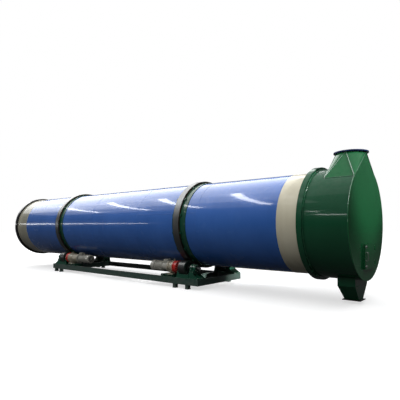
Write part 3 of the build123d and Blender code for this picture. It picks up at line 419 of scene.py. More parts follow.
SHAFT_RADIUS = 0.045
SHAFT_FACE = [(SUNK, SHAFT_RADIUS * 0.97), (0.004, SHAFT_RADIUS * 0.97), (0.006, SHAFT_RADIUS * 0.9),
              (0.006, 0.012), (0.001, 0.005), (0.001, 0)]
FACE_SCREW_Y = 0.026
FACE_SCREW_Z = 0.006
FACE_SCREW = 0.006
OUTWARD = {"feed": -1, "discharge": 1}
for station, outward in OUTWARD.items():
    for side in ("near", "far"):
        name = f"{station}_{side}_roller"
        dress(roller_steel_painted_shade, name)
        low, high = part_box(name)
        middle = (low + high) / 2
        tip = Vector((high.x if outward > 0 else low.x, middle.y, middle.z))
        end = towards(tip, (outward, 0, 0))
        face = Stock()
        face.turn(end, SHAFT_FACE, 32)
        for y in (-FACE_SCREW_Y, FACE_SCREW_Y):
            face.bolt(end @ Matrix.Translation((0, y, FACE_SCREW_Z)), FACE_SCREW)
        piece(face, f"{name}_shaft_end", name, bright_steel)

# The bearings: split cast housings on a planed foot, the outer ones with a stepped cover. Zinc plated bolts
# hold the covers and the feet and clamp each housing's ears, and a grease nipple stands on its top.
dress(machine_green, "feed_bearings", "discharge_bearings")
zinc = Finish("zinc_plated_steel", Metallic=0.9)
spangle = zinc.noise(120.0, detail=4.0)
zinc.set("Base Color", zinc.mix(spangle, rgb(0.34, 0.345, 0.35), rgb(0.52, 0.51, 0.48)))
zinc.set("Roughness", zinc.band(spangle, 0.3, 0.7, 0.32, 0.5))
BEARING_X = {"outer": 0.290, "inner": -0.152}
EAR_LENGTH = {"outer": 0.05, "inner": 0.048}
FOOT_BOLT_X = {"outer": (-0.042, 0.042), "inner": (0,)}
HOUSING_RADIUS = 0.100
EAR_Y = 0.111
EAR_DEPTH = 0.036
EAR_HEIGHT = 0.034
EAR_GAP = 0.002
EAR_BEVEL = 0.003
CLAMP_BOLT_Y = 0.113
CLAMP_THREAD = 0.012
FOOT_BOLT_Y = 0.1235
FOOT_TOP = -0.079
FOOT_THREAD = 0.010
COVER_BOLTS = (0.068, 6, 0.012)
NIPPLE_BASE = [(-0.002, 0.007), (0.006, 0.007), (0.006, 0.004), (0.013, 0.004), (0.016, 0.0055)]
NIPPLE_HEAD = [(0.016, 0.0055), (0.020, 0.003), (0.022, 0)]
for station, outward in OUTWARD.items():
    bolts = Stock()
    ears = Stock()
    tyre_low, tyre_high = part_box(f"{station}_tyre")
    station_x = (tyre_low.x + tyre_high.x) / 2
    for side in ("near", "far"):
        low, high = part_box(f"{station}_{side}_roller")
        centre = (low + high) / 2
        for which in ("outer", "inner"):
            x = station_x + outward * BEARING_X[which]
            for way in (-1, 1):
                for level in (-1, 1):
                    ear_z = centre.z + level * (EAR_HEIGHT / 2 + EAR_GAP / 2)
                    ear = Matrix.Translation((x, centre.y + way * EAR_Y, ear_z))
                    ears.cut(ear, (EAR_LENGTH[which], EAR_DEPTH, EAR_HEIGHT), EAR_BEVEL)
                ear_top = (x, centre.y + way * CLAMP_BOLT_Y, centre.z + EAR_HEIGHT + EAR_GAP / 2)
                bolts.bolt(Matrix.Translation(ear_top), CLAMP_THREAD, stud=True)
                for shift in FOOT_BOLT_X[which]:
                    foot = (x + shift, centre.y + way * FOOT_BOLT_Y, centre.z + FOOT_TOP)
                    bolts.bolt(Matrix.Translation(foot), FOOT_THREAD)
            top = Matrix.Translation((x, centre.y, centre.z + HOUSING_RADIUS))
            bolts.turn(top, NIPPLE_BASE, 6)
            bolts.turn(top, NIPPLE_HEAD, 6)
        cover_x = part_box(f"{station}_bearings")[1 if outward > 0 else 0].x
        cover = towards((cover_x, centre.y, centre.z), (outward, 0, 0))
        bolts.bolt_circle(cover, *COVER_BOLTS, start=30)
    piece(bolts, f"{station}_bearing_bolts", "skid", zinc)
    piece(ears, f"{station}_bearing_ears", "skid", machine_green)

# The pedestals: welded stools on a base plate that carries the pair of bearings of one roller. The plate is
# bolted through the side beam's flange and its front edge is welded to it.
dress(machine_green, "feed_pedestals", "discharge_pedestals")
BASE_PLATE = 0.016
BASE_BOLT_X = 0.032
BASE_BOLT_Y = 0.040
ROLLER_BOLT_Y = 0.064
BASE_THREAD = 0.012
RIB_Y = 0.012
STOOL_Y = (-0.123, -0.006, 0.006)
STOOL_SEAM = (0.004, 0.15)
PEDESTAL_FILLET = 0.004
for station in OUTWARD:
    low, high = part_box(f"{station}_pedestals")
    bolts = Stock()
    seams = []
    roller_low, roller_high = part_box(f"{station}_near_roller")
    roller_y = -(roller_low.y + roller_high.y) / 2
    plate_top = low.z + BASE_PLATE
    for way in (-1, 1):
        for x in (low.x + BASE_BOLT_X, high.x - BASE_BOLT_X):
            for y in (high.y - BASE_BOLT_Y, roller_y - ROLLER_BOLT_Y):
                bolts.bolt(Matrix.Translation((x, way * y, plate_top)), BASE_THREAD, stud=True)
        for y, z in ((high.y + PROUD, low.z), (high.y - RIB_Y, plate_top)):
            seams.append([Vector((low.x, way * y, z)), Vector((high.x, way * y, z))])
        for offset in STOOL_Y:
            y = way * (roller_y + offset)
            seams.append([Vector((low.x + along, y, plate_top)) for along in STOOL_SEAM])
            seams.append([Vector((high.x - along, y, plate_top)) for along in STOOL_SEAM])
    piece(bolts, f"{station}_pedestal_bolts", "skid", zinc)
    name = f"{station}_pedestal_welds"
    bead(name, "skid", machine_green, seams, PEDESTAL_FILLET, closed=False)

# The skid: two long rolled channels with their webs outwards and capped ends, channels across at both
# stations and short posts on floor plates. All is welded and painted machine green, dusty and chipped low
# down.
skid_green = Finish("skid_green_enamel", Coat_Weight=0.3, Coat_Roughness=0.2, Specular_IOR_Level=0.4)
clouds = skid_green.band(skid_green.noise(2.4, detail=6.0), 0.35, 0.7)
tone = skid_green.mix(clouds, rgb(0.012, 0.042, 0.032), rgb(0.020, 0.058, 0.044))
low_down = skid_green.band(skid_green.place_along("Z"), 0.0, 0.30, 0.55, 0.15)
dusty = low_down * skid_green.band(skid_green.noise(11.0, detail=7.0), 0.35, 0.7)
dusty = dusty + skid_green.band(skid_green.facing("Z"), 0.4, 1.0) * 0.35
tone = skid_green.mix(dusty, tone, rgb(0.10, 0.10, 0.085))
chips = skid_green.band(skid_green.noise(38.0, detail=3.0), 0.70, 0.73)
skid_green.set("Base Color", skid_green.mix(chips, tone, rgb(0.10, 0.045, 0.025)))
skid_green.set("Roughness", skid_green.band(dusty, 0.0, 0.8, 0.36, 0.8))
skid_green.bump(skid_green.noise(60.0, detail=3.0) * 0.00006 + (1 - chips) * 0.0001)
dress(skid_green, "near_beam", "far_beam", "cross_beams", "foot_blocks")
near_low, near_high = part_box("near_beam")
far_low, far_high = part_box("far_beam")
BEAM_FILLET = 0.005
corners = []
for x in (near_low.x, near_high.x):
    for y in (near_high.y, far_low.y):
        corners.append([Vector((x, y, near_low.z)), Vector((x, y, near_high.z))])
bead("cross_beam_welds", "skid", skid_green, corners, BEAM_FILLET, closed=False)
CAP_PLATE = 0.008
CAP_INSET = 0.006
CAP_MARGIN = 0.004
CAP_BEVEL = 0.001
caps = Stock()
for x in (near_low.x + CAP_INSET, near_high.x - CAP_INSET):
    for low, high in ((near_low, near_high), (far_low, far_high)):
        middle = Matrix.Translation((x, (low.y + high.y) / 2, (low.z + high.z) / 2))
        caps.cut(middle, (CAP_PLATE, high.y - low.y - CAP_MARGIN, high.z - low.z - CAP_MARGIN), CAP_BEVEL)
piece(caps, "beam_end_caps", "skid", skid_green)
feet_low, feet_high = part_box("foot_blocks")
FOOT_X = (-3.8935, -3.5715, 2.0415, 2.4745)
POST_HALF = 0.048
SOLE_HALF = 0.056
SOLE_PLATE = 0.013
POST_FILLET = 0.004
SQUARE = [(-1, -1), (1, -1), (1, 1), (-1, 1)]
posts = []
for x in FOOT_X:
    for y in (feet_low.y + SOLE_HALF, feet_high.y - SOLE_HALF):
        for z in (SOLE_PLATE, feet_high.z - PROUD):
            posts.append([Vector((x + POST_HALF * px, y + POST_HALF * py, z)) for px, py in SQUARE])
bead("foot_welds", "skid", skid_green, posts, POST_FILLET)

# Each drive starts with a flange coupling on the near roller's shaft and the red ring gear housing of a
# planetary reducer, bolted through its front flange and closed against the housing behind it.
dress(bright_steel, "feed_coupling", "discharge_coupling")
reducer_red = enamel("reducer_red_enamel", colour=rgb(0.46, 0.016, 0.012), faded=rgb(0.56, 0.030, 0.020),
                     roughness=0.3, wave=0.0003, dust=0.3, coat=0.7)
dress(reducer_red, "feed_reducer_ring", "discharge_reducer_ring")
RING_NECK = 0.005
RING_LIP = 0.024
RING_FRONT_BOLTS = (0.143, 16, 0.014)
RING_WAIST_BOLTS = (0.161, 24, 0.0056)
drive_axis = {}
for station, outward in OUTWARD.items():
    roller_low, roller_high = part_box(f"{station}_near_roller")
    axis = Vector((0, (roller_low.y + roller_high.y) / 2, (roller_low.z + roller_high.z) / 2))
    drive_axis[station] = axis
    low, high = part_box(f"{station}_reducer_ring")
    front_x, back_x = (high.x, low.x) if outward > 0 else (low.x, high.x)
    bolts = Stock()
    front = towards(axis + Vector((front_x - outward * RING_NECK, 0, 0)), (outward, 0, 0))
    bolts.bolt_circle(front, *RING_FRONT_BOLTS)
    waist = towards(axis + Vector((back_x + outward * RING_LIP, 0, 0)), (outward, 0, 0))
    bolts.bolt_circle(waist, *RING_WAIST_BOLTS, start=7.5)
    piece(bolts, f"{station}_reducer_ring_bolts", "skid", zinc)

# Behind it the cast reducer housing tapers down to the motor's flange, on a foot bolted to the plinth. It has
# a lifting eye, an oil filler with a breather and a level plug, in beige gearbox enamel over a rough casting.
gear_beige = enamel("gearbox_beige_enamel", colour=rgb(0.30, 0.265, 0.195), faded=rgb(0.37, 0.335, 0.26),
                    roughness=0.34, wave=0.0003, dust=0.35, coat=0.4)
HOUSING_FLANGE = 0.022
TAPER = 0.154
JOINT_BOLTS = (0.1395, 12, 0.0095)
END_BOLTS = (0.1430, 16, 0.0060)
SEAT_PLATE = 0.020
SEAT_BOLT_X = (0.03, 0.17)
SEAT_BOLT_Y = 0.105
SEAT_THREAD = 0.016
GEAR_EYE = 0.034
GEAR_EYE_PLACE = (0.060, 0.149)
OIL_PLUG_PLACE = (0.10, -0.143)
BREATHER_PLACE = (0.135, 0.134)
PLUG_COLLAR = [(-0.004, 0.017), (0.004, 0.017), (0.004, 0.012)]
PLUG_HEAD = [(0.004, 0.012), (0.012, 0.012), (0.013, 0.010), (0.013, 0)]
BREATHER = [(-0.004, 0.010), (0.014, 0.010), (0.014, 0.017), (0.030, 0.017), (0.034, 0.012), (0.034, 0)]


def round_bar(height, radius, thickness, count):
    """The profile of a ring of round bar, as (height, radius) points for turning."""
    turns = [2 * math.pi * i / count for i in range(count + 1)]
    return [(height + thickness * math.sin(turn), radius + thickness * math.cos(turn)) for turn in turns]


def lifting_eye(stock, place, size):
    """A collar with a ring of round bar standing on it."""
    stock.turn(place, [(-0.002, size * 0.55), (size * 0.2, size * 0.55), (size * 0.35, size * 0.3)])
    upright = place @ Matrix.Translation((0, 0, size)) @ Matrix.Rotation(math.pi / 2, 4, "X")
    stock.turn(upright, round_bar(0.0, size * 0.58, size * 0.17, 10), 24)


for station, outward in OUTWARD.items():
    name = f"{station}_reducer_housing"
    dress(gear_beige, name)
    low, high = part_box(name)
    start, end = (high.x, low.x) if outward > 0 else (low.x, high.x)
    axis = drive_axis[station]
    bolts = Stock()
    joint = axis + Vector((start - outward * (HOUSING_FLANGE + TAPER), 0, 0))
    bolts.bolt_circle(towards(joint, (outward, 0, 0)), *JOINT_BOLTS, start=15)
    if station == "feed":
        last = axis + Vector((end + HOUSING_FLANGE * outward, 0, 0))
        bolts.bolt_circle(towards(last, (outward, 0, 0)), *END_BOLTS)
    for along in SEAT_BOLT_X:
        for y in (-SEAT_BOLT_Y, SEAT_BOLT_Y):
            seat = (start - outward * along, axis.y + y, low.z + SEAT_PLATE)
            bolts.bolt(Matrix.Translation(seat), SEAT_THREAD, stud=True)
    piece(bolts, f"{station}_reducer_bolts", "skid", zinc)
    fittings = Stock()
    back, up = GEAR_EYE_PLACE
    lifting_eye(fittings, Matrix.Translation(axis + Vector((start - outward * back, 0, up))), GEAR_EYE)
    back, out = OIL_PLUG_PLACE
    plug = towards(axis + Vector((start - outward * back, out, 0)), (0, -1, 0))
    fittings.turn(plug, PLUG_COLLAR)
    fittings.turn(plug, PLUG_HEAD, 6)
    back, up = BREATHER_PLACE
    fittings.turn(Matrix.Translation(axis + Vector((start - outward * back, 0, up))), BREATHER)
    piece(fittings, f"{station}_reducer_fittings", "skid", gear_beige)

# The motors: light grey finned bodies with a terminal box on top, its lid screwed down and its cable entries
# closed with blank glands. The pressed fan cover behind has a grille of rings on spokes over a flat
# near-black disc, a painted shadow for the fan and the dark inside of the cover.
motor_grey = enamel("motor_grey_enamel", colour=rgb(0.29, 0.285, 0.245), faded=rgb(0.36, 0.35, 0.31),
                    roughness=0.33, wave=0.0003, dust=0.3, coat=0.4)
fan_shadow = Finish("fan_shadow", Specular_IOR_Level=0.1)
grid = fan_shadow.noise(60.0)
fan_shadow.set("Base Color", fan_shadow.mix(grid, rgb(0.006, 0.006, 0.006), rgb(0.016, 0.016, 0.015)))
fan_shadow.set("Roughness", fan_shadow.band(grid, 0.3, 0.7, 0.7, 0.9))
BOX_START = 0.030
BOX_LENGTH = 0.150
BOX_WIDTH = 0.130
LID_LIP = 0.010
LID_Z = 0.005
LID_HEIGHT = 0.014
LID_BEVEL = 0.004
CROWN_MARGIN = 0.040
CROWN_Z = 0.014
CROWN_HEIGHT = 0.006
GLAND_X = 0.036
GLAND_Z = -0.030
GLAND = [(-0.002, 0.017), (0.006, 0.017), (0.006, 0.013), (0.016, 0.013), (0.019, 0.009), (0.019, 0)]
MOTOR_EYE = 0.026
MOTOR_EYE_PLACE = (0.235, 0.112)
SCREW_INSET = 0.008
SCREW_Z = 0.012
SCREW_THREAD = 0.006
FLANGE_BOLTS = (0.128, 8, 0.012)
FLANGE_BACK = 0.018
COWL_SCREW_RADIUS = 0.139
COWL_SCREWS = 4
GRILLE_RADIUS = 0.108
GRILLE_RINGS = 6
GRILLE_STEP = 0.017
GRILLE_WIRE = 0.0022
GRILLE_HEIGHT = 0.0025
FAN_SHADE = [(SUNK, GRILLE_RADIUS), (0.0008, GRILLE_RADIUS), (0.0008, 0)]
GRILLE_HUB = [(0.0, 0.020), (0.004, 0.020), (0.005, 0.018), (0.005, 0)]
SPOKES = 8
SPOKE_MIDDLE = 0.063
SPOKE = (0.09, 0.005, 0.004)
for station, outward in OUTWARD.items():
    dress(motor_grey, f"{station}_motor", f"{station}_fan_cowl")
    low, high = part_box(f"{station}_motor")
    start = high.x if outward > 0 else low.x
    axis = drive_axis[station]
    box_x = start - outward * (BOX_START + BOX_LENGTH / 2)
    lid = Stock()
    rim = Matrix.Translation((box_x, axis.y, high.z + LID_Z))
    lid.cut(rim, (BOX_LENGTH + LID_LIP, BOX_WIDTH + LID_LIP, LID_HEIGHT), LID_BEVEL)
    crown = Matrix.Translation((box_x, axis.y, high.z + CROWN_Z))
    lid.cut(crown, (BOX_LENGTH - CROWN_MARGIN, BOX_WIDTH - CROWN_MARGIN, CROWN_HEIGHT))
    for along in (-GLAND_X, GLAND_X):
        entry = (box_x + outward * along, axis.y - BOX_WIDTH / 2, high.z + GLAND_Z)
        lid.turn(towards(entry, (0, -1, 0)), GLAND, 6)
    back, up = MOTOR_EYE_PLACE
    lifting_eye(lid, Matrix.Translation(axis + Vector((start - outward * back, 0, up))), MOTOR_EYE)
    piece(lid, f"{station}_terminal_box_lid", "skid", motor_grey)
    screws = Stock()
    for x in (-1, 1):
        for y in (-1, 1):
            corner = Vector((box_x, axis.y, high.z + SCREW_Z))
            corner += Vector((x * (BOX_LENGTH / 2 - SCREW_INSET), y * (BOX_WIDTH / 2 - SCREW_INSET), 0))
            screws.bolt(Matrix.Translation(corner), SCREW_THREAD)
    flange = axis + Vector((start - outward * FLANGE_BACK, 0, 0))
    screws.bolt_circle(towards(flange, (-outward, 0, 0)), *FLANGE_BOLTS, start=22.5)
    cowl_low, cowl_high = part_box(f"{station}_fan_cowl")
    back_x, rim_x = (cowl_low.x, cowl_high.x) if outward > 0 else (cowl_high.x, cowl_low.x)
    rim_middle = axis + Vector((rim_x - outward * FLANGE_BACK, 0, 0))
    for i in range(COWL_SCREWS):
        turn = math.radians(45 + 90 * i)
        out = Vector((0, math.cos(turn), math.sin(turn)))
        screws.bolt(towards(rim_middle + out * COWL_SCREW_RADIUS, out), SCREW_THREAD)
    piece(screws, f"{station}_motor_screws", "skid", zinc)
    behind = towards(axis + Vector((back_x, 0, 0)), (-outward, 0, 0))
    shade = Stock()
    shade.turn(behind, FAN_SHADE, 48)
    piece(shade, f"{station}_fan_shade", "skid", fan_shadow)
    grille = Stock()
    for i in range(GRILLE_RINGS):
        grille.turn(behind, round_bar(GRILLE_HEIGHT, GRILLE_RADIUS - GRILLE_STEP * i, GRILLE_WIRE, 6), 48)
    grille.turn(behind, GRILLE_HUB, 24)
    for i in range(SPOKES):
        turn = Matrix.Rotation(2 * math.pi * i / SPOKES, 4, "Z")
        spoke = behind @ turn @ Matrix.Translation((SPOKE_MIDDLE, 0, GRILLE_HEIGHT))
        grille.cut(spoke, SPOKE, 0.001)
    piece(grille, f"{station}_cowl_grille", "skid", motor_grey)

# The plinth under each reducer: a welded stool on the side beam, with gussets and a top plate to which the
# reducer's foot is bolted. It is machine green like the pedestals, with a long fillet along each plate.
dress(machine_green, "feed_drive_plinth", "discharge_drive_plinth")
FOOT_PLATE_Z = 0.278
TOP_PLATE = 0.012
PLINTH_FOOT_Z = 0.267
PLINTH_FILLET = 0.004
for station in OUTWARD:
    low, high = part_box(f"{station}_drive_plinth")
    seams = []
    front = low.y + PROUD
    for y, z in ((front, FOOT_PLATE_Z), (front, high.z - TOP_PLATE), (low.y, PLINTH_FOOT_Z)):
        seams.append([Vector((low.x, y, z)), Vector((high.x, y, z))])
    name = f"{station}_plinth_welds"
    bead(name, "skid", machine_green, seams, PLINTH_FILLET, closed=False)

# The discharge hood: a rolled green shell with a channel ring that runs round the drum, bolted to the shell's
# flange, and a round end plate. The end plate has a lighter copy of the hood's green, painted light for the
# light that falls on it. Continuous welds close it at both ends.
hood_green = enamel("hood_green_enamel", colour=rgb(0.0070, 0.062, 0.027), faded=rgb(0.0090, 0.075, 0.034),
                    roughness=0.2, wave=0.006, dust=0.06, coat=0.4)
dress(hood_green, "hood_shell", "hood_seal_ring")
painted_light_green = enamel("end_plate_painted_light_green_enamel", colour=rgb(0.010, 0.100, 0.034),
                     faded=rgb(0.014, 0.125, 0.044), roughness=0.2, wave=0.004, dust=0.06, coat=0.25)
dress(painted_light_green, "hood_end_plate")
hood_low, hood_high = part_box("hood_shell")
HOOD_RADIUS = hood_high.y
HOOD_FILLET = 0.008
SEAL_RING_BOLTS = (HOOD_RADIUS + 0.028, 36, 0.014)
# The hood's end welds and the seal ring's bolts use the weld green, whose lighter colour is a painted
# highlight for their rim glints.
joints = [hoop(x, HOOD_RADIUS + PROUD) for x in (hood_low.x + PROUD, hood_high.x - PROUD)]
bead("hood_welds", "skid", weld_green_painted_highlight, joints, HOOD_FILLET)
bolts = Stock()
bolts.bolt_circle(towards((hood_low.x, 0, AXIS_Z), (1, 0, 0)), *SEAL_RING_BOLTS, start=5)
piece(bolts, "seal_ring_bolts", "skid", weld_green_painted_highlight)

# The outlet: sheet folded from the hood's rectangle to a round neck, eight folds that meet in Vs at the
# corners, welded down to the shell and up to a flat flange in dark blue. The sheet has the end plate's
# lighter green, painted light.
flange_blue = enamel("flange_blue_enamel", colour=rgb(0.016, 0.034, 0.115), faded=rgb(0.024, 0.046, 0.14),
                     roughness=0.25, wave=0.0005, dust=0.2)
dress(flange_blue, "outlet_flange")
dress(painted_light_green, "outlet_transition")
sheet_low, sheet_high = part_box("outlet_transition")
flange_low, flange_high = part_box("outlet_flange")
OUTLET_X = (flange_low.x + flange_high.x) / 2
OUTLET_RADIUS = 0.300
BASE_LENGTH = 0.583
BASE_LEAN = 0.017
SIDE_BEAD_Z = 0.002
RISE_STEPS = 40
FOLD_START = 0.04
FOLD_BEAD = 0.010
BASE_BEAD = 0.007
NECK_BEAD = 0.005
base_x = sheet_high.x - BASE_LENGTH
folds = []
for px, x in ((-1, base_x), (1, sheet_high.x)):
    for py in (-1, 1):
        corner = Vector((x, py * sheet_high.y, sheet_low.z))
        for rim in ((px * OUTLET_RADIUS, 0), (0, py * OUTLET_RADIUS)):
            top = Vector((OUTLET_X + rim[0], rim[1], sheet_high.z))
            folds.append([corner.lerp(top, FOLD_START), top])
# The fold and base beads use the weld green, whose lighter colour is a painted highlight for the V-shaped
# glints.
bead("outlet_folds", "skid", weld_green_painted_highlight, folds, FOLD_BEAD, closed=False)
base = []
for y in (-sheet_high.y, sheet_high.y):
    base.append([Vector((x, y, sheet_low.z + SIDE_BEAD_Z)) for x in (base_x, sheet_high.x)])
rise = []
for i in range(RISE_STEPS + 1):
    y = sheet_high.y * (2 * i / RISE_STEPS - 1)
    z = AXIS_Z + math.sqrt(HOOD_RADIUS**2 - y**2)
    lean = BASE_LEAN * (z - sheet_low.z) / (sheet_high.z - sheet_low.z)
    rise.append(Vector((base_x - lean - PROUD, y, z + PROUD)))
base.append(rise)
bead("outlet_base_weld", "skid", weld_green_painted_highlight, base, BASE_BEAD, closed=False)
circle = [(spot.y, spot.z - AXIS_Z) for spot in hoop(0, OUTLET_RADIUS + PROUD, 64)]
neck = [Vector((OUTLET_X + x, y, sheet_high.z - PROUD)) for x, y in circle]
bead("outlet_neck_weld", "skid", flange_blue, [neck], NECK_BEAD)

# The chute: folded green plate that narrows from the hood's bottom to a flanged black mouth, its corners and
# its shoulder welded from outside.
dress(hood_green, "discharge_chute")
dress(black, "chute_flange")
chute_low, chute_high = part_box("discharge_chute")
mouth_low, mouth_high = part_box("chute_flange")
NECK_DEPTH = 0.104
SHOULDER_Z = AXIS_Z - HOOD_RADIUS - NECK_DEPTH
MOUTH_X = (mouth_low.x + mouth_high.x) / 2
MOUTH_HALF_X = 0.140
MOUTH_HALF_Y = 0.130
CHUTE_FILLET = 0.0045
SHOULDER_BEAD = 0.004
MOUTH_BEAD = 0.005
MOUTH_BEAD_Z = 0.002
corners = []
for px, py in SQUARE:
    x = chute_low.x if px < 0 else chute_high.x
    y = py * chute_high.y
    head = Vector((x, y, AXIS_Z - math.sqrt(HOOD_RADIUS**2 - y**2)))
    foot = Vector((MOUTH_X + px * MOUTH_HALF_X, py * MOUTH_HALF_Y, mouth_high.z))
    corners.append([head, Vector((x, y, SHOULDER_Z)), foot])
bead("chute_corner_welds", "skid", hood_green, corners, CHUTE_FILLET, closed=False)
shoulder = [middle for head, middle, foot in corners]
bead("chute_shoulder_weld", "skid", hood_green, [shoulder], SHOULDER_BEAD)
mouth = [foot + Vector((0, 0, MOUTH_BEAD_Z)) for head, middle, foot in corners]
bead("chute_mouth_weld", "skid", black, [mouth], MOUTH_BEAD)

# The inspection door: a flat leaf on a raised frame, pressed on a black rubber seal by two round knobs, with
# a bent bar for a grip and two lift-off hinges on its far side.
# The frame and leaf have the end plate's lighter green, painted light.
dress(painted_light_green, "door_frame", "door_leaf")
dress(bright_steel, "door_handle")
rubber = Finish("seal_rubber", Specular_IOR_Level=0.3)
grain = rubber.noise(90.0, detail=3.0)
rubber.set("Base Color", rubber.mix(grain, rgb(0.010, 0.010, 0.010), rgb(0.022, 0.022, 0.021)))
rubber.set("Roughness", rubber.band(grain, 0.3, 0.7, 0.6, 0.8))
leaf_low, leaf_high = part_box("door_leaf")
plate_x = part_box("hood_end_plate")[1].x
door_z = (leaf_low.z + leaf_high.z) / 2
half_height = (leaf_high.z - leaf_low.z) / 2
FRAME_RISE = 0.028
SEAL_GAP = 0.003
LEAF_PLATE = 0.009
SEAL_INSET = 0.034
SEAL_RADIUS = 0.0014
FRAME_HALF_WIDTH = 0.320
FRAME_INSET = 0.010
FRAME_FILLET = 0.005
seal_x = plate_x + FRAME_RISE + SEAL_GAP / 2
seal_y = -leaf_low.y - SEAL_INSET
seal_z = half_height - SEAL_INSET
seal = [Vector((seal_x, py * seal_y, door_z + pz * seal_z)) for py, pz in SQUARE]
bead("door_seal", "skid", rubber, [seal], SEAL_RADIUS)
foot_x = plate_x + PROUD / 2
foot_z = half_height - FRAME_INSET
foot = [Vector((foot_x, py * FRAME_HALF_WIDTH, door_z + pz * foot_z)) for py, pz in SQUARE]
bead("door_frame_weld", "skid", hood_green, [foot], FRAME_FILLET)
KNOB_INSET = 0.036
KNOB_LEVEL = 0.190
KNOB_STEM = [(SUNK, 0.020), (0.003, 0.020), (0.003, 0.008), (0.012, 0.008)]
KNOB_HEAD = [(0.012, 0.008), (0.013, 0.021), (0.018, 0.024), (0.025, 0.022), (0.029, 0.012), (0.030, 0)]
leaf_face = plate_x + FRAME_RISE + SEAL_GAP + LEAF_PLATE
knobs = Stock()
for z in (door_z - KNOB_LEVEL, door_z + KNOB_LEVEL):
    knob = towards((leaf_face, leaf_low.y + KNOB_INSET, z), (1, 0, 0))
    knobs.turn(knob, KNOB_STEM, 24)
    knobs.turn(knob, KNOB_HEAD, 24)
piece(knobs, "door_knobs", "door", bright_steel)
HINGE_X = leaf_low.x + 0.0045
HINGE_Y = 0.345
HINGE_LEVEL = 0.15
PIN_END = 0.045
PIN_HEAD = [(SUNK, 0.011), (0.003, 0.011), (0.005, 0.008), (0.005, 0)]
pins = Stock()
for level in (-HINGE_LEVEL, HINGE_LEVEL):
    for way in (-1, 1):
        head = towards((HINGE_X, HINGE_Y, door_z + level + way * PIN_END), (0, 0, way))
        pins.turn(head, PIN_HEAD, 16)
piece(pins, "hinge_pin_heads", "skid", zinc)

# The studio: a pale seamless floor that keeps the machine's shadow, inside a white surround. Seen directly
# and through glass both are pale. Gloss shows a little of that, and mostly a dim hall with a bright ceiling.
WHITE = rgb(1.0, 1.0, 1.0)
WHITE_IN_GLOSS = 0.02
FLOOR_HALF = 150.0


def seen_white(finish):
    """1 for what the camera sees directly or through glass, and a small share for what gloss mirrors."""
    direct = finish.node("ShaderNodeLightPath", output="Is Camera Ray")
    through = finish.node("ShaderNodeLightPath", output="Is Transmission Ray")
    mirrored = finish.node("ShaderNodeLightPath", output="Is Glossy Ray") * WHITE_IN_GLOSS
    return direct + through + mirrored


floor_mesh = bpy.data.meshes.new("floor")
floor_mesh.from_pydata([(FLOOR_HALF * px, FLOOR_HALF * py, 0) for px, py in SQUARE], [], [(0, 1, 2, 3)])
floor = bpy.data.objects.new("floor", floor_mesh)
bpy.context.scene.collection.objects.link(floor)
ground = Finish("pale_floor", Roughness=0.9, Specular_IOR_Level=0.0, Emission_Strength=1.0)
seen = seen_white(ground)
ground.set("Base Color", ground.mix(seen, rgb(0.06, 0.06, 0.06), rgb(0.55, 0.55, 0.55)))
away = ground.node("ShaderNodeVectorMath", {"operation": "LENGTH"}, {0: ground.place}, "Value")
glow = ground.mix(ground.band(away, 6.0, 22.0), rgb(0.60, 0.60, 0.60), WHITE)
ground.set("Emission Color", ground.mix(seen, rgb(0.0, 0.0, 0.0), glow))
floor_mesh.materials.append(ground.material)

world = bpy.data.worlds.new("studio")
bpy.context.scene.world = world
world.use_nodes = True


class Surround(Finish):
    """The world's nodes, built with the same calls as a material's."""

    def __init__(self, tree):
        self.tree = tree
        self.shader = tree.nodes["Background"]
        self.place = self.node("ShaderNodeTexCoord", output="Generated")


hall = Surround(world.node_tree)
height = hall.place_along("Z")
behind = hall.band(hall.place_along("Y"), -0.3, 0.8)
wall = hall.mix(behind, rgb(0.03, 0.033, 0.036), rgb(0.005, 0.006, 0.006))
ceiling = hall.mix(hall.band(height, 0.02, 0.6), wall, rgb(0.30, 0.31, 0.32))
lit = hall.mix(hall.band(height, -0.12, 0.02), rgb(0.02, 0.02, 0.02), ceiling)
hall.set("Color", hall.mix(seen_white(hall), lit, WHITE))


# The lamps: a wide soft roof and a side fill light the paint at a plain level and don't show in its gloss.
# The gloss mirrors its own set, which gives no other light: roof panels that fade towards the eaves, a row of
# strips across the drum, and three narrow strips for the long glints on the feed end and on the hood.
def hang(name, lamp, place, target):
    item = bpy.data.objects.new(name, lamp)
    bpy.context.scene.collection.objects.link(item)
    item.location = place
    item.rotation_euler = (Vector(target) - Vector(place)).to_track_quat("-Z", "Y").to_euler()
    return item


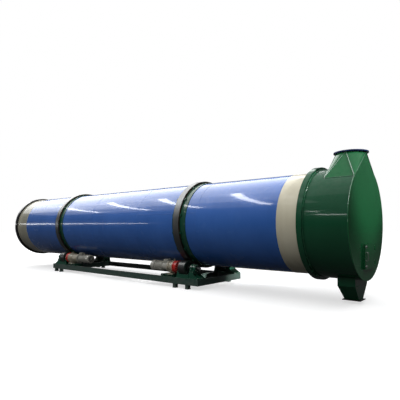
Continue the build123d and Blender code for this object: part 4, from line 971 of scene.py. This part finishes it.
def soft_light(name, place, target, size, brightness, mirrored=False):
    """A rectangular lamp that either lights surfaces or is only mirrored in them. Its brightness is its
    radiance, where 1 shows as white."""
    lamp = bpy.data.lights.new(name, "AREA")
    lamp.shape = "RECTANGLE"
    lamp.size, lamp.size_y = size
    lamp.energy = brightness * math.pi * size[0] * size[1]
    item = hang(name, lamp, place, target)
    item.visible_diffuse = not mirrored
    item.visible_glossy = mirrored


soft_light("roof", (-6, 2.0, 12.5), (-6, 2.0, 0), size=(40, 20), brightness=1.6)
soft_light("side_fill", (3, -13, 11.5), (2, 0, 1.5), size=(18, 8), brightness=2.1)
PANELS = {
    "middle": ((-16, 4.5), (32, 15), 4.0),
    "near": ((-16, -5.0), (32, 4), 3.0),
    "eaves": ((-16, -9.5), (32, 5), 1.0),
    "end": ((8, 2.0), (16, 18), 0.6),
}
for name, (spot, size, brightness) in PANELS.items():
    soft_light(f"roof_gloss_{name}", (*spot, 12), (*spot, 0), size, brightness, mirrored=True)
for x in (-17.2, -11.3, -6.5, -1.4):
    soft_light(f"roof_strip_{x:.0f}", (x, -5.2, 10.0), (x, -5.2, 0), (0.6, 7.2), 22.0, mirrored=True)
soft_light("far_strip", (-25, -15, 3.3), (-1.5, -1, 1.6), (14, 0.45), 15.0, mirrored=True)
HOOD_GLINT = (6.1, -1.1, 1.8)
soft_light("near_strip_long", (1.27, -13.69, 5.54), HOOD_GLINT, (1.6, 0.2), 26.0, mirrored=True)
soft_light("near_strip_short", (0.37, -12.75, 7.04), HOOD_GLINT, (0.7, 0.16), 26.0, mirrored=True)


def spot_light(name, place, target, power, angle):
    """A round beam with a soft edge."""
    lamp = bpy.data.lights.new(name, "SPOT")
    lamp.energy = power
    lamp.spot_size = math.radians(angle)
    lamp.spot_blend = 0.35
    lamp.shadow_soft_size = 0.3
    hang(name, lamp, place, target)


# One beam on the outlet's sheet and the top of the end plate, and one on the far pedestal beyond the drum.
spot_light("gable_light", (13.5, 1.5, 8.0), (6.77, 0.3, 2.95), power=3600.0, angle=16.5)
spot_light("gate_light", (14.0, 6.0, 3.0), (2.6, 1.0, 0.45), power=15000.0, angle=7.0)
